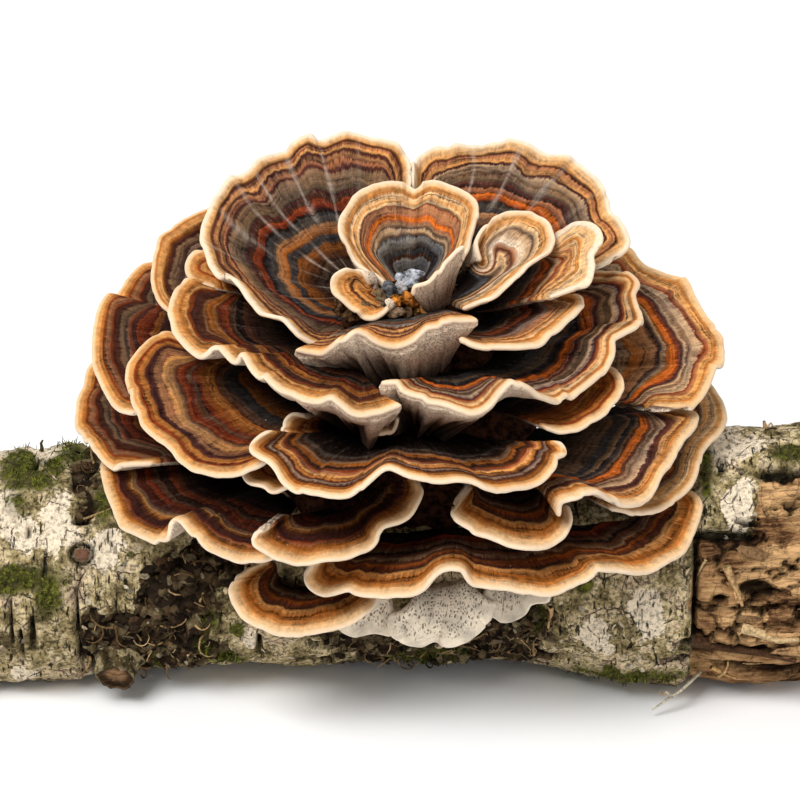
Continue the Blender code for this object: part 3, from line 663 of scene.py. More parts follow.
@dataclass
class Bracket:
    """One cap. Points are (pixel across, pixel down, millimetres forward of the branch's axis).

    The rim runs anticlockwise seen from the cap's upper side. The root is one point or two. The arch is how
    far the cap's middle stands above a straight line from root to rim, in millimetres. The underside hangs to a
    root of its own over the part of the rim that the four shares of it give: where it starts and ends to rise,
    and where it starts and ends to fall.
    """

    name: str
    palette: Palette
    root: list[Pixel]
    rim: list[Pixel]
    arch: float = 1.5
    thickness: float = CAP_THICKNESS
    flutes: float = 0.45
    # How much the cap is darkened inwards of its margin, as painted shade.
    tone: float = 0.8
    under_root: list[Pixel] = field(default_factory=list)
    hung: tuple[float, float, float, float] = (-2, -1, 2, 3)
    folds: list[tuple[float, float]] = field(default_factory=list)
    creases: list[float] = field(default_factory=list)
    reach: float = 0.0
    slot: str = "cap"

    def outline(self) -> tuple[np.ndarray, np.ndarray, np.ndarray]:
        """The rim with its fine scallops, the rim without its waves, and the root, column by column."""
        rim = np.array([seen(*point) for point in self.rim])
        length = np.linalg.norm(np.diff(rim, axis=0), axis=1).sum()
        columns = int(np.clip(length / COLUMN_WIDTH, 40, 420))
        rim = curve_through(rim, columns + 1)
        share = np.linspace(0, 1, columns + 1)[:, None]
        roots = np.array([seen(*point) for point in self.root])
        root = roots[0] * (1 - share) + roots[-1] * share
        plain = smoothed(rim, max(1, round(columns * WAVE_REACH)))
        along = np.linspace(0, length / MM, columns + 1)
        outward = unit(rim - root)
        scallops = 0.24 * rough(along / 3.4, self.seed()) + 0.07 * rough(along / 1.3, self.seed() + 0.5)
        rim = rim + outward * (scallops * MM)[:, None]
        return rim, plain, root

    def seed(self) -> float:
        """A number of the cap's own, so that no two caps share their wrinkles."""
        return float(sum(map(ord, self.name)) % 97) + 0.37

    def build(self) -> bpy.types.Object:
        """Makes the cap: upper side, rounded rim and underside, closed along its sides and root."""
        rim, plain, root = self.outline()
        columns = len(rim) - 1
        tangent = np.gradient(plain, axis=0)
        upward = unit(np.cross(tangent, root - plain))
        overall = unit(upward.sum(0))
        upward = unit(smoothed(upward, max(1, round(columns * TILT_REACH))) + overall)
        span = np.linalg.norm(plain - root, axis=1)
        rows = 2 * int(np.clip(span.max() / ROW_WIDTH / 2, 8, 36))
        half_rim = 0.5 * self.thickness * RIM_SHARE
        last = 1 - half_rim / span
        share = ROOT_START + (last - ROOT_START)[None, :] * np.linspace(0, 1, rows + 1)[:, None]
        rim_along = np.concatenate([[0], np.cumsum(np.linalg.norm(np.diff(rim, axis=0), axis=1))]) / MM
        inward = (1 - share) * (0.6 * span.max() + 0.4 * span)[None, :] / MM
        s = share[..., None]
        sheet = root + (plain - root) * s + (rim - plain) * s**WAVE_GROWTH
        sheet = sheet + upward * (4 * s * (1 - s) * self.arch * MM)
        sheet = sheet + upward * (self.relief(rim_along[None, :], inward, share) * MM)[..., None]
        ahead = np.gradient(sheet, axis=0)
        normal = unit(np.cross(ahead, np.gradient(sheet, axis=1)))
        trust = ramp(share, 0.1, 0.4)[..., None]
        normal = unit(normal * trust + upward * (1.2 - trust))
        half = 0.5 * self.thickness * (1 - (1 - RIM_SHARE) * share)
        side = self.side_distance(sheet)
        closing = np.sqrt(1 - (1 - np.clip(side / (1.3 * half), 0, 1)) ** 2)
        closing[0] = 0
        middle = sheet - normal * half[..., None]
        swell = normal * (half * closing)[..., None]
        out = unit(ahead[-1] - normal[-1] * np.sum(ahead[-1] * normal[-1], axis=1, keepdims=True))
        lines = list(middle + swell)
        flat = squeezed(sheet)
        near = self.rim_distance(flat, flat[-1]) / MM + half_rim / MM
        span = np.linalg.norm(squeezed(plain - root), axis=1) / MM
        inward = (1 - share) * (0.6 * span.max() + 0.4 * span)[None, :]
        inward = near + (inward - near) * ramp(near, 0.03 * span.max(), 0.2 * span.max())
        wander = 0.8 * layered(rim_along[None, :] / 9, inward / 8, octaves=3, seed=int(self.seed()))
        inward = inward + wander * ramp(inward, 0.6, 5)
        grown = [np.stack([rim_along, line], -1) for line in inward]
        pale = list(self.crease(rim_along[None, :], inward))
        rim_inward = inward[-1]
        for angle in NOSE:
            turn = out * math.cos(angle) + normal[-1] * math.sin(angle)
            lines.append(middle[-1] + turn * (half[-1] * closing[-1])[:, None])
            grown.append(np.stack([rim_along, rim_inward * math.sin(angle)], -1))
            pale.append(pale[0] * 0)
        lower = middle - swell
        if self.under_root:
            lower = lower + self.hang(root, lower, rim_along, share)
        lines.extend(lower[::-2])
        grown.extend(np.stack([rim_along, -line], -1) for line in inward[::-2])
        pale.extend(line * 0 for line in inward[::-2])
        points = np.array(lines) + np.array((0, BRANCH_AXIS_BEHIND_MIDDLE, 0))
        colours = {"crease": np.repeat(np.array(pale)[..., None], 4, -1)} if self.creases else {}
        return laid_grid("look_" + self.name, points, np.array(grown), colours)

    def crease(self, along: np.ndarray, inward: np.ndarray) -> np.ndarray:
        """How pale the cap is along its radial creases, from 0 to 1."""
        total = np.zeros_like(inward)
        for number, place in enumerate(self.creases):
            away = along - place * along.max() + 1.1 * rough(inward / 9, self.seed() + number)
            width = 0.35 + 0.5 * ramp(rough(inward / 4, number * 3.1, seed=8), -0.4, 0.8)
            strength = ramp(rough(inward / 5.5, number * 1.7, seed=9), -0.9, 0.5)
            total = np.maximum(total, np.exp(-(away / width) ** 2) * strength)
        return total * ramp(inward, 0.6, 3) * 0.8

    def hang(self, root: np.ndarray, lower: np.ndarray, along: np.ndarray, share: np.ndarray) -> np.ndarray:
        """How far the underside sinks towards a root of its own, which lies below the upper side's."""
        part = np.linspace(0, 1, len(root))[:, None]
        ends = np.array([seen(*point) for point in self.under_root])
        drop = ends[0] * (1 - part) + ends[-1] * part - root
        drop = drop * ramp(part, *self.hung[:2]) * (1 - ramp(part, *self.hung[2:]))
        fringe = 1 + 0.35 * layered(along / 4.5, octaves=3, seed=31)
        deep = np.clip(1 - share, 0, 1) ** 0.8
        return drop[None] * (deep * fringe[None])[..., None]

    def relief(self, along: np.ndarray, inward: np.ndarray, share: np.ndarray) -> np.ndarray:
        """Flutes that run from rim to root, sharp folds, and the steps between its bands, in millimetres."""
        seed = self.seed()
        grown = share**1.6
        flutes = rough(along / 5.5, inward / 30, seed) + 0.5 * rough(along / 2.4, inward / 14, seed + 9)
        steps = rough(inward / 1.7, along / 60, seed + 3) + 0.6 * rough(inward / 0.9, along / 40, seed + 5)
        lip = np.exp(-((inward - 1.6) / 1.1) ** 2)
        total = flutes * self.flutes * grown + steps * 0.11 + lip * 0.12
        length = along.max()
        count = max(1, round(length / 13))
        folds = [
            ((n + 0.5 + 0.35 * float(rough(n * 1.7, seed))) / count * length,
             self.flutes * 1.7 * float(rough(n * 2.3 + 0.4, seed + 4)))
            for n in range(count)
        ]
        folds.extend((place * length, depth) for place, depth in self.folds)
        for place, depth in folds:
            away = along - place + 1.6 * rough(inward / 7, seed + place)
            cliff = np.exp(-np.abs(away) / 4.5) * np.tanh(away / 0.4)
            total = total + cliff * depth * ramp(share, 0.2, 0.9)
        return total

    @staticmethod
    def rim_distance(sheet: np.ndarray, rim: np.ndarray) -> np.ndarray:
        """How far each point is from the nearest place on the rim."""
        corners = rim[np.unique(np.append(np.arange(0, len(rim), 4), len(rim) - 1))]
        step = np.diff(corners, axis=0)
        square = (step**2).sum(1)
        found = []
        for row in sheet:
            away = row[:, None] - corners[None, :-1]
            share = np.clip((away * step).sum(2) / square, 0, 1)[..., None]
            found.append(np.linalg.norm(away - share * step, axis=2).min(axis=1))
        return np.array(found)

    @staticmethod
    def side_distance(sheet: np.ndarray) -> np.ndarray:
        """How far each point is from the nearer side of the cap, along its row."""
        step = np.linalg.norm(np.diff(sheet, axis=1), axis=2)
        along = np.concatenate([np.zeros((len(sheet), 1)), np.cumsum(step, axis=1)], axis=1)
        return np.minimum(along, along[:, -1:] - along)

    def reach_mm(self) -> float:
        """Millimetres from rim to root along the cap's longest way."""
        if self.reach:
            return self.reach
        _, plain, root = self.outline()
        return float(np.linalg.norm(squeezed(plain - root), axis=1).max() / MM)


BRACKETS = [
    Bracket(
        "cap_back_left", Palette.BACK_LEFT,
        [(362, 300, 3), (392, 284, -7)],
        [
            (411, 184, -25), (408, 158, -30), (395, 143, -32), (372, 138, -33), (346, 132, -33),
            (320, 140, -31), (309, 136, -31), (284, 147, -29), (262, 155, -26), (244, 173, -22),
            (230, 177, -21), (215, 196, -16), (204, 218, -12), (200, 238, -8), (206, 258, -4), (218, 277, 0),
            (232, 272, 3), (248, 293, 8), (260, 312, 11), (283, 320, 14), (300, 334, 16), (320, 343, 15),
            (338, 338, 12),
        ],
        flutes=1.0, tone=0.9, arch=-4.5, thickness=SMALL_CAP_THICKNESS,
        creases=[0.16, 0.24, 0.31, 0.39, 0.45, 0.52, 0.60, 0.70],
    ),
    Bracket(
        "cap_back_right", Palette.BACK_RIGHT,
        [(446, 296, 1), (416, 282, -7)],
        [
            (598, 264, -3), (613, 258, -5), (626, 251, -6), (629, 238, -8), (619, 219, -11), (610, 208, -14),
            (607, 192, -17), (590, 170, -21), (572, 160, -24), (545, 152, -27), (512, 139, -31),
            (501, 142, -32), (470, 143, -33), (440, 145, -33), (422, 148, -33), (415, 160, -30),
            (414, 184, -25),
        ],
        flutes=1.0, tone=0.95, arch=-4.5, thickness=SMALL_CAP_THICKNESS,
        creases=[0.30, 0.44, 0.58, 0.72],
    ),
    Bracket(
        "cap_left_upper", Palette.UPPER_LEFT,
        [(350, 300, -10), (350, 318, -3)],
        [
            (214, 206, -26), (195, 213, -23), (172, 226, -20), (159, 238, -17), (153, 258, -13),
            (151, 280, -9), (156, 298, -6), (168, 310, -3), (190, 318, 0),
        ],
        tone=0.62, arch=-1.0,
    ),
    Bracket(
        "cap_left_upper_small", Palette.EDGE,
        [(350, 298, -8), (345, 312, -2)],
        [
            (230, 240, -14), (208, 247, -12), (192, 252, -11), (184, 267, -9), (189, 280, -7),
            (210, 286, -5),
        ],
        tone=0.9, arch=0.5, thickness=SMALL_CAP_THICKNESS,
    ),
    Bracket(
        "cap_left_far", Palette.TALL_LEFT,
        [(335, 318, -14), (330, 335, -8)],
        [
            (175, 262, -30), (152, 263, -28), (137, 266, -25), (124, 282, -20), (116, 296, -17),
            (125, 312, -14),
        ],
        tone=0.5, arch=0.5,
    ),
    Bracket(
        "cap_left_tall", Palette.TALL_LEFT,
        [(330, 345, -9), (325, 368, 0)],
        [
            (135, 300, -20), (118, 297, -17), (107, 293, -14), (99, 303, -10), (93, 325, -5), (91, 348, -1),
            (95, 373, 4), (106, 397, 9), (120, 411, 12), (138, 414, 14), (160, 412, 16),
        ],
        tone=0.5, arch=0.5,
    ),
    Bracket(
        "cap_left_low", Palette.TALL_LEFT,
        [(290, 435, -10), (295, 462, 4)],
        [
            (110, 362, -18), (90, 364, -16), (82, 385, -11), (75, 402, -7), (75, 424, -1), (81, 433, 3),
            (97, 455, 10), (112, 467, 13), (130, 463, 14), (150, 462, 15),
        ],
        tone=0.5, arch=1.5,
    ),
    Bracket(
        "cap_right_tall", Palette.TALL_RIGHT,
        [(488, 385, 2), (478, 350, -12)],
        [
            (660, 409, 8), (684, 408, 9), (701, 399, 8), (712, 383, 5), (717, 367, 2), (724, 360, 0),
            (722, 336, -7), (708, 318, -12), (697, 298, -17), (685, 276, -22), (668, 271, -26),
            (646, 263, -30), (630, 246, -33), (610, 245, -34),
        ],
        folds=[(0.36, 1.3), (0.12, -0.7)],
        tone=1, arch=-1.0,
    ),
    Bracket(
        "cap_right_low", Palette.TAN_RIGHT,
        [(525, 475, 8), (515, 440, -10)],
        [
            (610, 505, 29), (628, 508, 29), (645, 512, 27), (674, 503, 21), (694, 486, 16), (702, 462, 11),
            (706, 446, 8), (720, 435, 4), (727, 420, 0), (724, 403, -5), (714, 384, -11), (695, 372, -15),
        ],
        tone=0.9, arch=1.0,
    ),
    Bracket(
        "cap_centre_fan", Palette.CENTRE,
        [(424, 300, 2), (392, 300, 2)],
        [
            (430, 288, 4), (452, 268, 2), (468, 243, -2), (478, 210, -7), (470, 193, -10), (452, 184, -12),
            (428, 179, -13), (415, 188, -12), (404, 182, -13), (380, 182, -12), (356, 194, -9),
            (341, 215, -6), (341, 234, -3), (353, 256, 0), (380, 276, 3), (392, 288, 4),
        ],
        tone=1, arch=-1.0, thickness=SMALL_CAP_THICKNESS,
    ),
    Bracket(
        "cap_centre_curl", Palette.YELLOW,
        [(384, 284, 1), (400, 296, 5)],
        [
            (368, 285, 5), (358, 271, 6), (346, 269, 7), (333, 277, 8), (332, 291, 9), (343, 303, 10),
            (356, 315, 11), (372, 319, 12), (386, 309, 11), (388, 303, 9),
        ],
        tone=1, arch=0.5, thickness=SMALL_CAP_THICKNESS,
    ),
    Bracket(
        "cap_centre_ear", Palette.YELLOW,
        [(424, 312, 6), (446, 306, 4)],
        [
            (411, 296, 13), (414, 284, 13), (432, 277, 12), (447, 258, 11), (463, 245, 9), (466, 258, 8),
        ],
        tone=1, arch=0.5, thickness=SMALL_CAP_THICKNESS,
    ),
    Bracket(
        "cap_centre_spoon", Palette.PALE,
        [(440, 300, 4), (456, 285, -4)],
        [
            (461, 308, 12), (478, 302, 13), (500, 292, 13), (515, 276, 12), (531, 259, 9), (549, 250, 5),
            (553, 234, 1), (541, 216, -3), (510, 211, -7), (489, 223, -6), (479, 242, -3), (483, 262, -1),
        ],
        tone=1, arch=-1.0, thickness=SMALL_CAP_THICKNESS,
    ),
    Bracket(
        "cap_centre_right", Palette.SOFT,
        [(462, 310, 3), (472, 296, -6)],
        [
            (556, 297, 13), (573, 289, 13), (589, 280, 12), (594, 266, 10), (593, 254, 7), (603, 242, 5),
            (600, 228, 2), (585, 221, 0), (569, 225, -2), (555, 241, -3),
        ],
        tone=1, arch=0.0, thickness=SMALL_CAP_THICKNESS,
    ),
    Bracket(
        "cap_front_cup", Palette.CUP,
        [(366, 319, 7), (450, 308, 5)],
        [
            (293, 349, 17), (308, 352, 18), (322, 352, 19), (336, 342, 20), (352, 330, 20), (366, 334, 20),
            (380, 344, 20), (395, 347, 20), (410, 340, 20), (424, 328, 19), (445, 323, 18), (462, 319, 17),
            (481, 319, 16),
        ],
        tone=0.95, arch=0.5, under_root=[(350, 374, 9), (446, 370, 9)],
    ),
    Bracket(
        "cap_front_upper_right", Palette.INNER_RIGHT,
        [(455, 330, 2), (465, 325, 0)],
        [
            (459, 337, 17), (473, 344, 19), (495, 347, 20), (520, 347, 20), (540, 343, 19), (553, 332, 17),
            (570, 318, 14), (584, 303, 10), (578, 296, 6), (558, 298, 2),
        ],
        tone=1, arch=0.5,
    ),
    Bracket(
        "cap_tier_right", Palette.TIER_RIGHT,
        [(435, 372, 3), (475, 352, -4)],
        [
            (379, 381, 25), (396, 380, 26), (405, 391, 28), (424, 398, 30), (448, 404, 32), (472, 413, 33),
            (488, 406, 32), (499, 390, 31), (512, 380, 30), (528, 387, 29), (548, 397, 27), (564, 400, 24),
            (581, 388, 21), (601, 376, 17), (611, 358, 14), (615, 338, 11), (626, 331, 9), (640, 323, 7),
            (642, 311, 4), (636, 295, 0), (640, 281, -3), (624, 270, -7), (594, 270, -9),
        ],
        under_root=[(400, 430, 8), (500, 410, 6)], hung=(-2, -1, 0.25, 0.5),
        folds=[(0.80, 1.0), (0.52, -0.6), (0.68, 0.6)],
        tone=0.95, arch=0.5,
    ),
    Bracket(
        "cap_tier_left", Palette.TIER_LEFT,
        [(345, 335, -1), (365, 362, 6)],
        [
            (215, 281, -8), (195, 276, -8), (177, 285, -4), (169, 303, 1), (171, 325, 7), (184, 344, 12),
            (199, 354, 15), (214, 345, 16), (231, 361, 20), (240, 353, 21), (257, 373, 24), (288, 393, 28),
            (314, 402, 30), (331, 398, 31), (350, 412, 32), (369, 416, 32), (389, 411, 31), (402, 404, 30),
        ],
        under_root=[(318, 425, 6), (372, 436, 10)], hung=(0.45, 0.8, 2, 3),
        tone=0.62, arch=0.5,
    ),
    Bracket(
        "cap_wing_left", Palette.WING_LEFT,
        [(320, 384, 4), (328, 400, 9)],
        [
            (188, 344, -3), (168, 332, -3), (149, 336, -1), (133, 354, 4), (124, 374, 8), (129, 390, 11),
            (131, 404, 15), (143, 427, 20), (164, 442, 24), (181, 461, 28), (201, 472, 31), (230, 475, 33),
            (252, 468, 34), (265, 460, 34),
        ],
        folds=[(0.36, 1.0)],
        tone=0.68, arch=1.0,
    ),
    Bracket(
        "cap_shelf_front", Palette.SHELF,
        [(360, 425, 6), (440, 425, 6)],
        [
            (272, 432, 30), (250, 447, 35), (272, 464, 39), (287, 484, 42), (313, 495, 44), (347, 495, 45),
            (366, 479, 44), (387, 467, 43), (411, 474, 44), (434, 479, 44), (456, 478, 44), (480, 482, 43),
            (503, 488, 42), (537, 484, 38), (552, 470, 36), (557, 457, 34), (566, 451, 32), (555, 443, 30),
        ],
        tone=0.95, arch=0.5,
    ),
    Bracket(
        "cap_wing_right", Palette.WING_RIGHT,
        [(485, 455, 10), (490, 435, 2)],
        [
            (556, 516, 37), (560, 503, 38), (577, 496, 38), (600, 494, 36), (616, 501, 33), (636, 505, 30),
            (653, 495, 26), (667, 470, 21), (684, 443, 14), (700, 417, 7), (689, 410, 3), (665, 409, 0),
        ],
        tone=1, arch=1.0,
    ),
    Bracket(
        "cap_right_round", Palette.GOLD_RIGHT,
        [(470, 402, 6), (470, 385, -2)],
        [
            (545, 428, 26), (565, 432, 27), (592, 422, 24), (613, 405, 19), (623, 386, 14), (619, 371, 10),
            (608, 366, 7),
        ],
        tone=0.75, arch=1.0, thickness=SMALL_CAP_THICKNESS,
    ),
    Bracket(
        "cap_low_left", Palette.LOW,
        [(265, 470, 2), (300, 500, 12)],
        [
            (110, 458, 4), (101, 464, 8), (102, 482, 13), (109, 505, 19), (121, 526, 24), (142, 536, 28),
            (163, 542, 31), (168, 524, 31), (177, 519, 31), (191, 531, 33), (208, 549, 35), (238, 562, 37),
            (268, 558, 38), (284, 549, 37),
        ],
        tone=0.5, arch=2.0,
    ),
    Bracket(
        "cap_low_front", Palette.LOW,
        [(325, 510, 10), (365, 500, 10)],
        [
            (270, 530, 38), (254, 542, 42), (279, 557, 43), (303, 563, 43), (327, 558, 43), (353, 555, 42),
            (370, 547, 40), (382, 528, 38), (407, 514, 35), (420, 492, 31), (415, 477, 27),
        ],
        tone=0.6, arch=2.0,
    ),
    Bracket(
        "cap_low_small_right", Palette.LOWEST,
        [(470, 482, 10), (520, 482, 10)],
        [
            (470, 490, 26), (453, 512, 37), (470, 528, 40), (492, 536, 41), (515, 545, 42), (543, 546, 41),
            (563, 536, 37), (570, 522, 34), (565, 505, 30),
        ],
        tone=0.8, arch=1.5,
    ),
    Bracket(
        "cap_lowest_left", Palette.LOWEST,
        [(290, 575, 16), (340, 572, 16)],
        [
            (268, 560, 24), (245, 571, 27), (228, 591, 30), (240, 614, 33), (266, 631, 36), (290, 635, 37),
            (325, 631, 38), (352, 622, 38), (371, 610, 36), (377, 596, 33), (372, 586, 30),
        ],
        tone=0.8, arch=2.0,
    ),
    Bracket(
        "cap_lowest_right", Palette.LOWEST,
        [(375, 530, 14), (600, 508, 7)],
        [
            (325, 556, 34), (305, 576, 36), (318, 594, 38), (343, 590, 40), (372, 594, 41), (405, 597, 42),
            (422, 588, 42), (437, 571, 42), (462, 568, 42), (476, 583, 42), (505, 588, 42), (532, 593, 42),
            (558, 591, 41), (582, 581, 39), (598, 570, 38), (624, 572, 36), (650, 571, 33), (674, 559, 29),
            (693, 542, 24), (703, 511, 17), (700, 495, 13), (682, 488, 9),
        ],
        tone=0.9, arch=2.0,
    ),
    Bracket(
        "cap_front_tiny", Palette.EDGE,
        [(376, 396, 6), (396, 396, 6)],
        [
            (366, 416, 24), (369, 430, 26), (380, 434, 27), (391, 431, 26), (396, 418, 24),
        ],
        arch=0.5, thickness=SMALL_CAP_THICKNESS,
    ),
    Bracket(
        "cap_left_sliver", Palette.EDGE,
        [(320, 450, 8), (345, 460, 12)],
        [
            (243, 472, 30), (248, 482, 32), (260, 486, 33), (274, 489, 34), (287, 484, 34),
        ],
        arch=0.5, thickness=SMALL_CAP_THICKNESS,
    ),
    Bracket(
        "cap_shelf_lobe", Palette.EDGE,
        [(345, 420, 6), (350, 432, 9)],
        [
            (305, 417, 20), (291, 415, 21), (283, 421, 22), (284, 430, 24), (292, 434, 26),
        ],
        arch=0.5, thickness=SMALL_CAP_THICKNESS,
    ),
    Bracket(
        "pore_lobe_middle", Palette.EDGE,
        [(470, 572, 20), (420, 580, 20)],
        [
            (497, 600, 25), (490, 620, 26), (474, 636, 27), (450, 647, 27), (434, 641, 27), (420, 647, 27),
            (400, 642, 27), (389, 632, 27), (388, 612, 26),
        ],
        arch=-3.0, slot="pore_surface", tone=1.0, flutes=0.8,
    ),
    Bracket(
        "pore_lobe_left", Palette.EDGE,
        [(392, 566, 17), (352, 564, 17)],
        [
            (398, 616, 25), (392, 635, 26), (374, 634, 26), (356, 637, 26), (338, 627, 26), (334, 606, 25),
        ],
        arch=-2.0, thickness=SMALL_CAP_THICKNESS, slot="pore_surface", tone=1.0, flutes=0.8,
    ),
    Bracket(
        "pore_lobe_right", Palette.EDGE,
        [(534, 556, 17), (494, 558, 17)],
        [
            (557, 585, 28), (550, 601, 29), (533, 606, 28), (521, 618, 27), (503, 622, 27), (489, 614, 26),
            (482, 594, 25),
        ],
        arch=-2.0, thickness=SMALL_CAP_THICKNESS, slot="pore_surface", tone=0.85, flutes=0.8,
    ),
]


@dataclass
class Rosette:
    """All the caps."""

    brackets: list[Bracket] = field(default_factory=lambda: BRACKETS)

    def build(self) -> None:
        """Makes and dresses each cap."""
        for bracket in self.brackets:
            piece = bracket.build()
            reach = round(bracket.reach_mm(), 1)
            finish = CapFinish(bracket.name, bracket.palette, reach, bracket.tone, bool(bracket.creases))
            if bracket.slot == "pore_surface":
                finish = PoreFinish(bracket.tone)
            hand_in(piece, finish.material(), bracket.slot, bracket.name)


# The branch

BRANCH_LENGTH = 176 * MM
BRANCH_EDGES = np.array([
    (-60, 459, 690),
    (60, 449, 682),
    (180, 441, 676),
    (300, 436, 669),
    (420, 434, 665),
    (540, 433, 671),
    (640, 433, 684),
    (740, 431, 699),
    (860, 414, 684),
])
LUMP_SIZE = 14 * MM
LUMP_HEIGHT = 1.2 * MM


def nearest_cells(place: np.ndarray, seed: int) -> tuple[np.ndarray, np.ndarray]:
    """A field of irregular cells, one in each unit cube.

    Args:
        place: Places, the last axis being x, y and z, counted in cells.
        seed: Which of the fields to read.

    Returns:
        How far each place is from the edge of its cell, and a number of the cell's own from -1 to 1.
    """
    home = np.floor(place).astype(np.int64)
    first = np.full(place.shape[:-1], 9.0)
    second = first.copy()
    own = np.zeros_like(first)
    for i in (-1, 0, 1):
        for j in (-1, 0, 1):
            for k in (-1, 0, 1):
                cell = home + np.array((i, j, k))
                middle = np.stack([lattice(cell, seed + n) for n in range(3)], -1) * 0.45 + 0.5
                away = np.linalg.norm(cell + middle - place, axis=-1)
                closer = away < first
                second = np.where(closer, first, np.minimum(second, away))
                own = np.where(closer, lattice(cell, seed + 3), own)
                first = np.where(closer, away, first)
    return second - first, own


@dataclass(frozen=True)
class Patch:
    """An area of the branch's surface, by the pixels where the viewer sees it."""

    across: float
    down: float
    half_width: float
    half_height: float
    sharp: float = 0.25

    def cover(self, across: np.ndarray, down: np.ndarray, wander: np.ndarray) -> np.ndarray:
        """1 inside the area and 0 outside, with a wandering edge."""
        away = np.hypot((across - self.across) / self.half_width, (down - self.down) / self.half_height)
        return 1 - ramp(away + wander * 0.35, 1 - self.sharp, 1 + self.sharp)


def covered(patches: list[Patch], across: np.ndarray, down: np.ndarray, wander: np.ndarray) -> np.ndarray:
    """1 where any of the patches lies."""
    found = np.zeros_like(across)
    for patch in patches:
        found = np.maximum(found, patch.cover(across, down, wander))
    return found


KNOT = Patch(84, 553, 12, 11)


